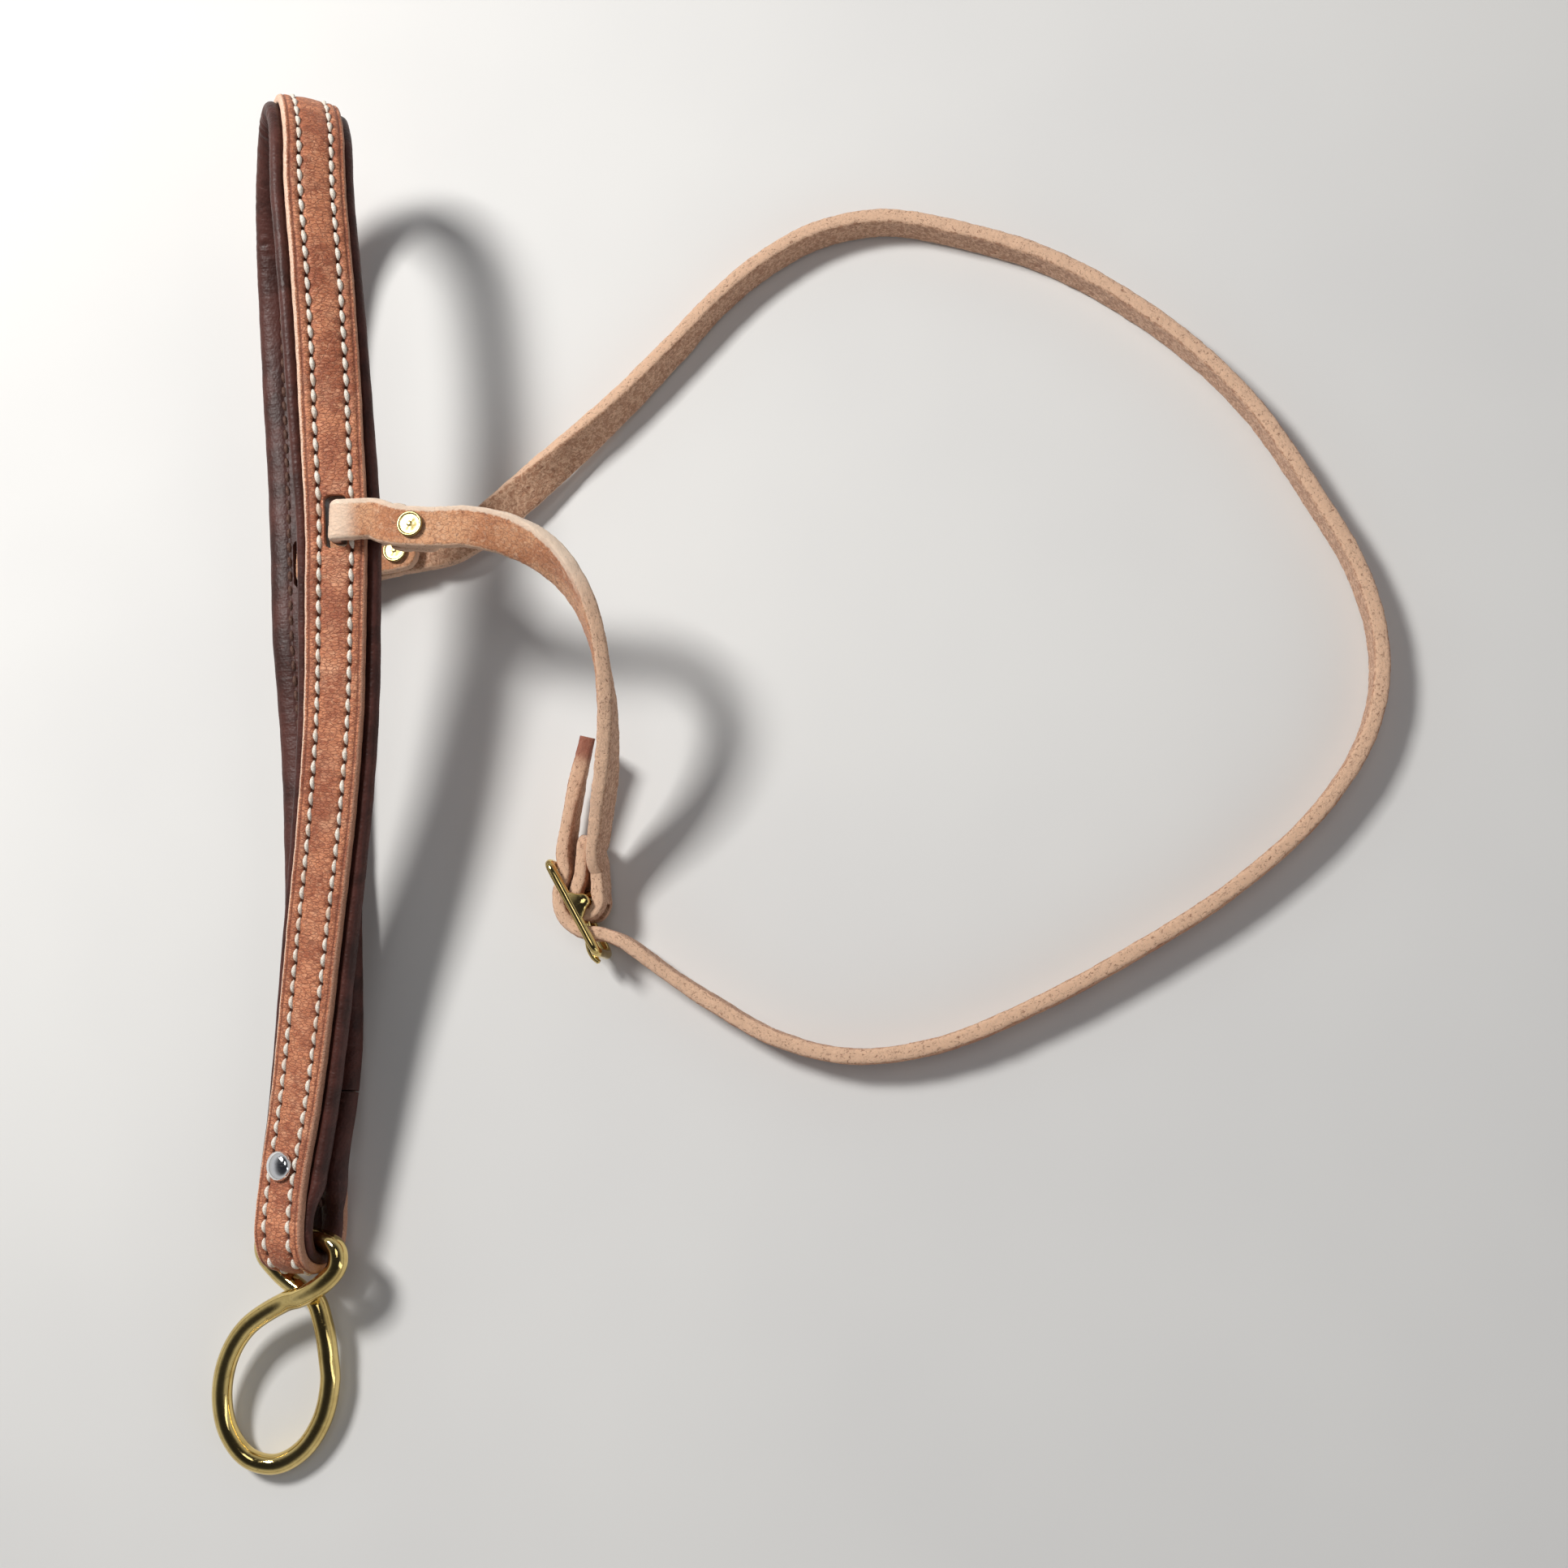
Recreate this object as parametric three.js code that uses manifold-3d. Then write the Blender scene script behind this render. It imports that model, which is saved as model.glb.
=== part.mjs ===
// Tie-down (standing martingale) noseband with its hanger headstall, laid down as it is stored.
// Millimetres, +Z up. The noseband's lower run rests on z = 0.
import * as THREE from 'three';
import Module from 'manifold-3d';
import { mergeVertices } from 'three/addons/utils/BufferGeometryUtils.js';

const wasm = await Module();
wasm.setup();

// ---- driving dimensions ----------------------------------------------------
const faceWidth = 19;          // harness-leather strap of the noseband
const faceThick = 3.6;
const faceBevel = 0.9;
const stitchSpread = 10;       // between the two rows of stitching
const threadDiameter = 0.6;
const grooveDepth = 1.1;
const liningWidth = 26.2;      // rolled lining, proud of the strap on both sides
const liningThick = 6.5;
const liningWall = 1.1;
const foldNarrow = 0.82;       // the lining is squeezed where it folds round the ring
const foldThin = 0.6;
const buttGap = 0.6;           // between the two ends of the closed noseband

const hangerWidth = 12.7;
const hangerThick = 4.2;
const hangerBevel = 0.7;
const slotLength = hangerWidth + 3.5;
const slotWidth = 6.8;

const ringWire = 6.4;
const ringBore = 43.2;         // inside the large eye, lengthways
const ringNarrow = 0.655;      // its width over its length
const eyeClearance = 1.85;     // each side of the noseband in the small eye

const buckleLength = 36;
const buckleWire = 3;
const buckleBar = 2.6;
const buckleBarSetback = 4;
const webLength = 13;          // of the web between the frame's side and its bar
const webThick = 2.2;
const webRim = 2.1;            // round the bar's end
const tongueWire = 2.4;

const nickelHead = 9.5;
const brassHead = 8;
const barrelDiameter = 5;
const shankDiameter = 3.4;
const headThick = 1.3;

const gap = 0.3;               // between pieces that touch
const loopSlack = 0.8;         // hanger loops and tongue, where they have to move
const layerSpace = hangerThick + gap;

// The small eye takes the folded noseband, and the rod crosses clear of the fold.
const foldRim = 1.25;          // of folded lining that may show beside the strap
const eyeInside = Math.max(faceWidth + 2 * foldRim, liningWidth * foldNarrow) + 2 * eyeClearance;
const barRun = ringWire / 2 + loopSlack + liningThick * foldThin;
const foldDepth = barRun + faceThick;                    // bar's centre to the outside of the fold
const ringReach = foldDepth * 1.3 + eyeInside * 0.1774;  // bar's centre to the crossing

// ---- colours ---------------------------------------------------------------
const finish = (color, roughness, metalness = 0) =>
  new THREE.MeshStandardMaterial({ color, roughness, metalness });
const harnessLeather = finish(0xb5673f, 0.6);
const liningLeather = finish(0x3a2421, 0.5);
const hangerLeather = finish(0xcf9a74, 0.75);
const feltFill = finish(0x8c8379, 0.95);
const waxedThread = finish(0xe6dcc8, 0.8);
const brass = finish(0xb99a4f, 0.25, 1);
const nickel = finish(0xc4c6c8, 0.15, 1);

// ---- vectors and solids ----------------------------------------------------
const V = (x, y, z) => new THREE.Vector3(x, y, z);
const up = V(0, 0, 1);
const radians = THREE.MathUtils.degToRad;

function asSolid(geometry) {
  const plain = geometry.clone();
  plain.deleteAttribute('normal');
  plain.deleteAttribute('uv');
  const merged = mergeVertices(plain, 1e-4);
  const vertProperties = merged.attributes.position.array;
  const triVerts = new Uint32Array(merged.index.array);
  return new wasm.Manifold(new wasm.Mesh({ numProp: 3, vertProperties, triVerts }));
}

function asGeometry(solid) {
  const mesh = solid.getMesh();
  const geometry = new THREE.BufferGeometry();
  geometry.setAttribute('position', new THREE.BufferAttribute(mesh.vertProperties, 3));
  geometry.setIndex(new THREE.BufferAttribute(mesh.triVerts, 1));
  geometry.computeVertexNormals();
  return geometry;
}

function cut(geometry, ...tools) {
  return asGeometry(tools.reduce((solid, tool) => solid.subtract(asSolid(tool)), asSolid(geometry)));
}

// A box or cylinder set down in a frame { at, across, out, along }.
function settle(geometry, frame) {
  const turn = new THREE.Matrix4().makeBasis(frame.across, frame.out, frame.along);
  return geometry.applyMatrix4(turn.setPosition(frame.at));
}

// ---- straps: cut flat, then bent along a route -----------------------------
// A route is a smooth spine with the direction of the strap's width at each of its points.
class Route {
  constructor(points, widths, closed = false, lowest = -Infinity) {
    this.spine = new THREE.CatmullRomCurve3(points, closed, 'centripetal');
    this.widths = new THREE.CatmullRomCurve3(widths, closed, 'catmullrom', 0.5);
    this.count = closed ? points.length : points.length - 1;
    this.lowest = lowest;
  }

  frame(t) {
    const at = this.spine.getPoint(t);
    at.z = Math.max(at.z, this.lowest);
    const along = this.spine.getTangent(t);
    const across = this.widths.getPoint(t);
    across.addScaledVector(along, -across.dot(along)).normalize();
    const out = V(0, 0, 0).crossVectors(along, across);
    return { at, along, across, out };
  }

  // The frame at one of the points that the route was given.
  station(index) {
    return this.frame(index / this.count);
  }

  // Frames from one end to the other, closer together where the strap bends.
  frames(steps, bendWeight, start = 0, end = 1) {
    const samples = steps * 12;
    const parameters = [start];
    const reach = [0];
    let last = this.frame(start);
    for (let i = 1; i <= samples; i++) {
      const t = start + (end - start) * i / samples;
      const next = this.frame(t);
      const turned = last.along.angleTo(next.along) + last.across.angleTo(next.across);
      parameters.push(t);
      reach.push(reach[i - 1] + last.at.distanceTo(next.at) + bendWeight * turned);
      last = next;
    }
    const frames = [];
    for (let step = 0, i = 0; step <= steps; step++) {
      const wanted = reach[samples] * step / steps;
      while (i < samples - 1 && reach[i + 1] < wanted) i++;
      const share = (wanted - reach[i]) / (reach[i + 1] - reach[i]);
      frames.push(this.frame(parameters[i] + share * (parameters[i + 1] - parameters[i])));
    }
    return frames;
  }
}

// outline: [across, out] points, anticlockwise. squeeze(frame) gives [width, depth] factors;
// the depth factor works on what lies on the inner side of the spine.
function bend(outline, frames, squeeze = () => [1, 1]) {
  const steps = frames.length - 1;
  const shape = new THREE.Shape(outline.map(([x, y]) => new THREE.Vector2(x, y)));
  const strip = new THREE.ExtrudeGeometry(shape, { depth: steps, steps, bevelEnabled: false });
  const position = strip.attributes.position;
  const factors = frames.map(squeeze);
  for (let i = 0; i < position.count; i++) {
    const k = Math.round(position.getZ(i));
    const frame = frames[k];
    const across = position.getX(i) * factors[k][0];
    const out = position.getY(i) * (position.getY(i) < 0 ? factors[k][1] : 1);
    const point = frame.at.clone();
    point.addScaledVector(frame.across, across).addScaledVector(frame.out, out);
    position.setXYZ(i, point.x, point.y, point.z);
  }
  strip.computeVertexNormals();
  return strip;
}

const mirrored = (half) => [...half, ...half.map(([x, y]) => [-x, y]).reverse()];

function strapOutline(width, thick, bevel) {
  const x = width / 2;
  const y = thick / 2;
  return mirrored([[x - bevel, -y], [x, bevel - y], [x, y - bevel], [x - bevel, y]]);
}

// ---- the noseband's route --------------------------------------------------
// Where the two runs meet at the ring end, everything leans by the same angle.
const ringLean = -20;
const leaning = (degrees) => V(Math.cos(radians(degrees)), 0, -Math.sin(radians(degrees)));
const ringAcross = leaning(ringLean);
const ringOut = V(0, 0, 0).crossVectors(V(0, -1, 0), ringAcross);
const barCentre = V(-153.5, -144.5, 14.3);
const nickelCentre = V(-152.8, -122, 15);
const nickelRun = liningThick + gap;
const off = (centre, out, toEnd = 0) =>
  centre.clone().addScaledVector(ringOut, out).add(V(0, -toEnd, 0));

// [point on the seam between strap and lining, lean of the width in degrees]
const nosebandStations = [
  [V(-150.9, -100, 5.2), -9],
  [V(-151.6, -84, 3.6), -2],
  [V(-152.3, -70, 3.6), 0],
  [V(-153.6, -45, 3.6), 0],
  [V(-155.6, -12, 3.6), 0],
  [V(-158, 22, 5.2), 0],
  [V(-160.5, 52, 8.4), 0],
  [V(-162, 77, faceThick + hangerThick + loopSlack + 2 * gap), 0],
  [V(-164, 104, 9.4), 2],
  [V(-166.5, 134, 10.5), 8],
  [V(-168, 165, 14), 16],
  [V(-167, 192, 22), 23],
  [V(-162, 210.5, 34.5), 28],
  [V(-155, 219, 48), 31],
  [V(-147.5, 215.5, 60), 33],
  [V(-141.8, 202, 68), 34],
  [V(-139, 181, 71), 34],
  [V(-136, 155, 70.2), 32],
  [V(-133.8, 125, 67), 27],
  [V(-132.5, 101, 64), 20],
  [V(-131.5, 76, 60), 12],
  [V(-132.3, 56, 56), 7],
  [V(-134.8, 17, 47.5), 1],
  [V(-139.3, -17, 39.5), -4],
  [V(-143.9, -45, 33), -8],
  [V(-147.6, -70, 28), -11],
  [V(-150.8, -94, 24.4), -15],
  [V(-152.9, -108, 22.6), -18],
  [off(nickelCentre, nickelRun), ringLean],
  [off(barCentre, barRun, -9), ringLean],
  [off(barCentre, barRun), ringLean],
  [off(barCentre, barRun * Math.SQRT1_2, barRun * Math.SQRT1_2), ringLean],
  [off(barCentre, 0, barRun), ringLean],
  [off(barCentre, -barRun * Math.SQRT1_2, barRun * Math.SQRT1_2), ringLean],
  [off(barCentre, -barRun), ringLean],
  [off(barCentre, -barRun, -9), ringLean],
  [off(nickelCentre, -nickelRun), ringLean],
];
const farSlotStation = 7;
const nearSlotStation = 20;
const nosebandRoute = new Route(
  nosebandStations.map(([point]) => point),
  nosebandStations.map(([, lean]) => leaning(lean)),
  true,
  faceThick + 0.05,
);
const nosebandLength = nosebandRoute.spine.getLength();
const nosebandFrames = nosebandRoute.frames(
  68, 40, buttGap / 2 / nosebandLength, 1 - buttGap / 2 / nosebandLength);

// The lining narrows and thins where it goes round the ring's bar.
function liningSqueeze(frame) {
  const away = Math.hypot(frame.at.y - barCentre.y, frame.at.z - barCentre.z);
  const share = THREE.MathUtils.smoothstep(away, 9, 20);
  return [foldNarrow + (1 - foldNarrow) * share, foldThin + (1 - foldThin) * share];
}

// ---- noseband pieces -------------------------------------------------------
function slotTool(station, length = slotLength, width = slotWidth) {
  return settle(new THREE.BoxGeometry(width, 3 * (faceThick + liningThick), length), station);
}

function borePin(centre, diameter, length) {
  const bore = new THREE.CylinderGeometry(diameter / 2, diameter / 2, length, 16);
  return settle(bore, { at: centre, across: ringAcross, out: ringOut, along: V(0, -1, 0) });
}

const nearSlot = nosebandRoute.station(nearSlotStation);
const farSlot = nosebandRoute.station(farSlotStation);
const boreTools = () => [
  slotTool(nearSlot),
  slotTool(farSlot),
  borePin(nickelCentre, barrelDiameter + 2 * gap, 4 * (faceThick + liningThick)),
];

function faceStrap() {
  const edge = faceWidth / 2;
  const row = stitchSpread / 2;
  const side = row + grooveDepth;
  const inner = row - grooveDepth;
  const half = [
    [edge, gap],
    [edge, faceThick - 1.5 * faceBevel],
    [edge - faceBevel, faceThick - 0.5 * faceBevel],
    [side, faceThick - 0.05],
    [row, faceThick - grooveDepth],
    [inner, faceThick],
  ];
  return cut(bend(mirrored(half), nosebandFrames), ...boreTools());
}

function liningSleeve() {
  const edge = liningWidth / 2;
  const deep = liningThick;
  const wall = liningWall;
  const lip = stitchSpread / 2 - 1;
  const half = [
    [edge - 3, -deep],
    [edge - 0.3, -deep * 0.7],
    [edge, -deep * 0.35],
    [edge - 1.8, -gap],
    [lip, -gap],
    [lip, -gap - wall],
    [edge - 2.3, -gap - wall],
    [edge - wall, -deep * 0.4],
    [edge - 1.5, -deep * 0.66],
    [edge - 3.5, wall - deep],
  ];
  return cut(bend(mirrored(half), nosebandFrames, liningSqueeze), ...boreTools());
}

function paddingCore() {
  const edge = liningWidth / 2 - liningWall - 1;
  const top = -liningWall - 3 * gap;
  const bottom = liningWall + 4 * gap - liningThick;
  const half = [[edge - 3.2, bottom], [edge - 0.6, bottom * 0.72], [edge - 1.6, top]];
  return cut(bend(mirrored(half), nosebandFrames, liningSqueeze), ...boreTools());
}

function stitchThread(side) {
  const radius = threadDiameter / 2;
  const x = side * stitchSpread / 2;
  const y = faceThick - radius;
  return bend([[x + radius, y], [x, y + radius], [x - radius, y], [x, y - radius]], nosebandFrames);
}

// ---- Chicago screws --------------------------------------------------------
// Post: head with a hollow barrel. Screw: head with a shank inside the barrel.
// Both stand on z = 0 at the leather's lower face, the post's head below and the screw's on top.
function turned(profile) {
  const points = profile.map(([r, z]) => new THREE.Vector2(r, z));
  return new THREE.LatheGeometry(points, 16).rotateX(Math.PI / 2);
}

function postGeometry(head, grip, dome) {
  const barrel = barrelDiameter / 2;
  const bore = shankDiameter / 2 + gap;
  return turned([
    [0, -dome - headThick / 2],
    [head * 0.3, -dome * 0.7 - headThick / 2],
    [head / 2, -headThick / 2],
    [head / 2, 0],
    [barrel, 0],
    [barrel, grip - gap],
    [bore, grip - gap],
    [bore, headThick],
    [0, headThick],
    [0, -dome - headThick / 2],
  ]);
}

function screwGeometry(head, grip, dome) {
  const shank = shankDiameter / 2;
  return turned([
    [0, 2 * headThick],
    [shank, 2 * headThick],
    [shank, grip],
    [head / 2, grip],
    [head / 2, grip + headThick / 2],
    [head * 0.3, grip + headThick / 2 + dome * 0.7],
    [0, grip + headThick / 2 + dome],
    [0, 2 * headThick],
  ]);
}

// ---- ring ------------------------------------------------------------------
// A figure eight of one rod, its strands crossing over each other; u runs along the bar.
// The large eye is long, leans to one side, and is twisted out of the small eye's plane.
function ringGeometry() {
  const wire = ringWire / 2;
  const long = ringBore / 2 + wire;
  const wide = ringBore * ringNarrow / 2 + wire;
  const half = eyeInside / 2 + wire;
  const over = -wire - gap / 2;
  const twist = radians(20);
  const slant = radians(10);
  const centre = [-7.5, ringReach + 4.2 + long];
  const strand = (side) => [
    [half * 0.6, 0, 0],
    [half * 0.94, ringReach * 0.12, 0],
    [half, ringReach * 0.38, side * over * 0.2],
    [half * 0.72, ringReach * 0.676, side * over * 0.7],
    [half * 0.22, ringReach * 0.93, side * over],
    [-half * 0.2, ringReach * 1.06, side * over * 1.05],
  ].map(([u, v, n]) => V(side * u, v, n));
  const eye = (degrees, n) => {
    const u = wide * Math.sin(radians(degrees));
    const v = -long * Math.cos(radians(degrees));
    const across = centre[0] + u * Math.cos(slant) - v * Math.sin(slant);
    return V(
      across * Math.cos(twist) - n * Math.sin(twist),
      centre[1] + v * Math.cos(slant) + u * Math.sin(slant),
      across * Math.sin(twist) + n * Math.cos(twist),
    );
  };
  const large = [-46, -75, -105, -135, -165, -195, -225, -255, -285, -314];
  const points = [
    V(0, 0, 0),
    ...strand(1),
    ...large.map((angle, i) => eye(angle, over * 0.4 * Math.cos(Math.PI * i / 9))),
    V(half * 0.4, ringReach * 1.4, -over * 1.1),
    ...strand(-1).reverse(),
  ];
  const path = new THREE.CatmullRomCurve3(points, true, 'centripetal');
  const section = new THREE.Shape().absarc(0, 0, wire, 0, 2 * Math.PI);
  return new THREE.ExtrudeGeometry(section, { steps: 76, curveSegments: 5, extrudePath: path });
}

// ---- hanger: cheek strap and crown strap -----------------------------------
const halfThick = hangerThick / 2;
const onTop = faceThick + loopSlack + halfThick;
const underneath = -liningThick - loopSlack - halfThick;
const besideRoll = liningWidth / 2;
const cheekScrew = V(-105, 72, 62.5);
const crownScrew = V(-130.5, 80.5, 8.6);

const inSlot = (slot, w, n) =>
  slot.at.clone().addScaledVector(slot.across, w).addScaledVector(slot.out, n);
const rows = (list) => list.map(([x, y, z, wx, wy, wz]) => [V(x, y, z), V(wx, wy, wz)]);

// Buckle: `s` runs from its upper-left end to the end under the tongue's tip, `b` to its back.
const buckleCentre = V(-65.5, -41, hangerWidth / 2 + buckleWire + 0.7);
const buckleS = V(0.493, -0.87, 0).normalize();
const buckleB = V(-buckleS.y, buckleS.x, 0);
const inBuckle = (s, b, rise = 0) =>
  buckleCentre.clone().addScaledVector(buckleS, s).addScaledVector(buckleB, b)
    .add(V(0, 0, rise));

const endOverlap = 8;
const foldRadius = buckleBar / 2 + gap + halfThick;
const bar = (s, b) => inBuckle(s * foldRadius, buckleBarSetback + b * foldRadius);
const outerRadius = foldRadius + layerSpace + gap;
const aroundFold = (s, b) => inBuckle(s * outerRadius, buckleBarSetback + b * outerRadius);
const overFrame = buckleWire / 2 + halfThick + 1.3;      // crown strap behind the frame's end
const lowerLeg = overFrame + layerSpace;
const upperLeg = lowerLeg + layerSpace;

function cheekRoute() {
  const width = V(0, 1, 0);
  const lower = -layerSpace / 2;
  const upper = layerSpace / 2;
  const under = underneath - 0.1 * hangerWidth;          // the noseband slopes over the strap here
  const loop = [
    cheekScrew.clone().add(V(endOverlap, -0.6, lower)),
    cheekScrew.clone().add(V(0, 0, lower)),
    cheekScrew.clone().add(V(-5.5, 0.8, lower - 0.6)),
    inSlot(nearSlot, besideRoll + 4.8, underneath * 0.5),
    inSlot(nearSlot, besideRoll + 1, underneath * 0.95),
    inSlot(nearSlot, besideRoll - 4, under),
    inSlot(nearSlot, 4.6, under + 0.2),
    inSlot(nearSlot, 1, under + 1.6),
    inSlot(nearSlot, 0, underneath * 0.55),
    inSlot(nearSlot, 0, 0),
    inSlot(nearSlot, 0.2, onTop - 3.2),
    inSlot(nearSlot, 1.5, onTop - 0.5),
    inSlot(nearSlot, 5, onTop + 0.5),
    inSlot(nearSlot, besideRoll - 1, onTop + 0.9),
    cheekScrew.clone().add(V(-6, 0.8, upper)),
    cheekScrew.clone().add(V(0, 0, upper)),
    cheekScrew.clone().add(V(7, -0.6, upper)),
  ].map((point) => [point, width]);
  const run = rows([
    [-88, 71.5, 64, 0, 1, 0.06],
    [-76, 69, 62.4, 0.15, 0.95, 0.35],
    [-64, 62.6, 60, 0.35, 0.65, 0.7],
    [-56.4, 54, 57, 0.38, 0.3, 0.88],
    [-51.6, 43, 52.5, 0.3, 0.08, 0.95],
    [-49.5, 30, 46.5, 0.2, 0, 0.98],
    [-49.6, 16, 39, 0.08, 0, 1],
    [-52, 1, 30, 0, 0.1, 1],
    [-55.8, -13, 20.5, 0, 0.15, 1],
  ]);
  run.push([inBuckle(-11.4, upperLeg + 0.5, 3.95), V(0, 0.1, 1)]);
  const standing = [
    inBuckle(-8, upperLeg - 1.3, 0.8),
    bar(-0.4, 1.45),
    bar(0.75, 0.85),
    bar(1.12, 0),
    bar(0.72, -0.75),
    bar(0, -1),
    bar(-0.9, -0.62),
    inBuckle(-8, lowerLeg - 3),
    inBuckle(-13.5, lowerLeg + 1, 0.6),
    inBuckle(-19, lowerLeg + 5.2, 1.6),
  ].map((point) => [point, up]);
  return [...loop, ...run, ...standing];
}

function crownRoute() {
  const width = V(0, -1, 0);
  const upper = layerSpace / 2;
  const loop = [
    crownScrew.clone().add(V(endOverlap - 1, 1, upper)),
    crownScrew.clone().add(V(0, 0, upper)),
    crownScrew.clone().add(V(-5.5, -0.8, upper + 0.4)),
    inSlot(farSlot, besideRoll + 5, underneath * 0.52),
    inSlot(farSlot, besideRoll + 1.2, underneath * 0.9),
    inSlot(farSlot, besideRoll - 4, underneath - 0.2),
    inSlot(farSlot, 4.6, underneath - 0.1),
    inSlot(farSlot, 1, underneath + 0.9),
    inSlot(farSlot, 0, underneath * 0.55),
    inSlot(farSlot, 0, 0),
    inSlot(farSlot, 0.2, onTop - 3.2),
    inSlot(farSlot, 1.5, onTop - 0.7),
    inSlot(farSlot, 5, onTop + 0.1),
    inSlot(farSlot, besideRoll - 1, onTop),
    crownScrew.clone().add(V(-7, -1.2, -upper - 0.2)),
    crownScrew.clone().add(V(0, 0, -upper)),
    crownScrew.clone().add(V(7, 1, -upper)),
  ].map((point) => [point, width]);
  const run = rows([
    [-114, 83, 6.9, 0.1, -1, -0.05],
    [-103, 88.5, 7.6, 0.4, -0.9, -0.2],
    [-92, 97, 8.3, 0.5, -0.65, -0.45],
    [-75, 111.5, 8.3, 0.4, -0.4, -0.8],
    [-57, 128, 7.4, 0.2, -0.2, -0.95],
    [-37, 148.5, 6.6, 0.08, -0.08, -1],
    [-22, 164.5, 6.35, 0, 0, -1],
    [-8, 176, 6.35, 0, 0, -1],
    [12, 186.5, 6.35, 0, 0, -1],
    [35, 189.5, 6.35, 0, 0, -1],
    [60, 183.5, 6.35, 0, 0, -1],
    [91, 171, 6.35, 0, 0, -1],
    [125, 147, 6.35, 0, 0, -1],
    [151, 119.5, 6.35, 0, 0, -1],
    [170, 88, 6.35, 0, 0, -1],
    [183.5, 60, 6.35, 0, 0, -1],
    [188, 34, 6.35, 0, 0, -1],
    [183.5, 11, 6.35, 0, 0, -1],
    [168, -13, 6.35, 0, 0, -1],
    [141, -37, 6.35, 0, 0, -1],
    [111, -56, 6.35, 0, 0, -1],
    [80, -72.5, 6.35, 0, 0, -1],
    [50, -84.5, 6.35, 0, 0, -1],
    [23, -88, 6.35, 0, 0, -1],
    [-1, -82.5, 6.4, 0, 0, -1],
    [-22, -71, 6.9, 0, 0, -1],
    [-38, -60.5, 8, 0, 0, -1],
  ]);
  const throughBuckle = [
    inBuckle(17.5, 8.4),
    inBuckle(11.6, 3.6),
    aroundFold(0.847, -0.709),
    aroundFold(0, -1),
    aroundFold(-0.753, -0.78),
    inBuckle(-11.5, overFrame - 2.6),
    inBuckle(-17.4, overFrame, 0.2),
  ].map((point) => [point, V(0, 0, -1)]);
  const tail = [
    [inBuckle(-27, 12.2, 1.2), V(-0.08, 0, -1)],
    [inBuckle(-37, 20.6, 2.2), V(-0.2, 0, -1)],
    [inBuckle(-47, 30, 3.6), V(-0.3, 0.05, -1)],
  ];
  return [...loop, ...run, ...throughBuckle, ...tail];
}

const routeOf = (list) => new Route(list.map(([point]) => point), list.map(([, width]) => width));
const screwBore = (centre) => {
  const bore = new THREE.CylinderGeometry(
    barrelDiameter / 2 + gap, barrelDiameter / 2 + gap, 3 * layerSpace, 16);
  return bore.rotateX(Math.PI / 2).translate(centre.x, centre.y, centre.z);
};

// An opening for the tongue, in buckle coordinates.
function tongueWindow(s, b, length, depth) {
  const window = new THREE.BoxGeometry(length, tongueWire + 2 * loopSlack, depth);
  return settle(window, { at: inBuckle(s, b), across: buckleS, out: up, along: buckleB.clone().negate() });
}

function cheekStrap() {
  const frames = routeOf(cheekRoute()).frames(66, 12);
  const strip = bend(strapOutline(hangerWidth, hangerThick, hangerBevel), frames);
  const reach = 2 * (foldRadius + halfThick) + 1;
  return cut(strip, screwBore(cheekScrew), tongueWindow(1.6, buckleBarSetback - 1.5, reach, reach + 1));
}

function crownStrap() {
  const frames = routeOf(crownRoute()).frames(104, 12);
  const strip = bend(strapOutline(hangerWidth, hangerThick, hangerBevel), frames);
  return cut(strip, screwBore(crownScrew), tongueWindow(8, 0, 9.6, 14));
}

// ---- buckle ----------------------------------------------------------------
// A straight-sided frame, with a web at the back of each side that carries the centre bar.
function buckleFrame() {
  const wire = buckleWire / 2;
  const end = buckleLength / 2 - wire;
  const side = hangerWidth / 2 + 0.35 + wire;
  const corner = [[0, side], [6, side], [end - 2.6, side], [end - 0.7, side - 0.7], [end, side - 2.6], [end, 0]];
  const sweep = (su, sv) => corner.map(([s, r]) => [su * s, sv * r]);
  const points = [
    ...sweep(1, 1),
    ...sweep(1, -1).reverse().slice(1),
    ...sweep(-1, -1).slice(1),
    ...sweep(-1, 1).reverse().slice(1, -1),
  ].map(([s, r]) => inBuckle(s, 0, r));
  const path = new THREE.CatmullRomCurve3(points, true, 'centripetal');
  const section = new THREE.Shape().absarc(0, 0, wire, 0, 2 * Math.PI);
  const rim = new THREE.ExtrudeGeometry(section, { steps: 60, curveSegments: 4, extrudePath: path });
  const foot = webLength / 2;
  const top = buckleBarSetback + webRim;
  const outline = [[-foot, -0.4], [foot, -0.4], [webRim, top - 0.9], [webRim * 0.5, top], [-webRim * 0.5, top],
    [-webRim, top - 0.9]];
  const web = new THREE.ExtrudeGeometry(
    new THREE.Shape(outline.map(([s, b]) => new THREE.Vector2(s, b))), { depth: webThick, bevelEnabled: false });
  const webAt = (rise) => asSolid(settle(web.clone(), {
    at: inBuckle(0, 0, rise - webThick / 2), across: buckleS, out: buckleB, along: up,
  }));
  const centreBar = new THREE.CylinderGeometry(buckleBar / 2, buckleBar / 2, 2 * side, 12);
  const seat = inBuckle(0, buckleBarSetback);
  centreBar.rotateX(Math.PI / 2).translate(seat.x, seat.y, seat.z);
  return asGeometry(asSolid(rim).add(webAt(side)).add(webAt(-side)).add(asSolid(centreBar)));
}

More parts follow.
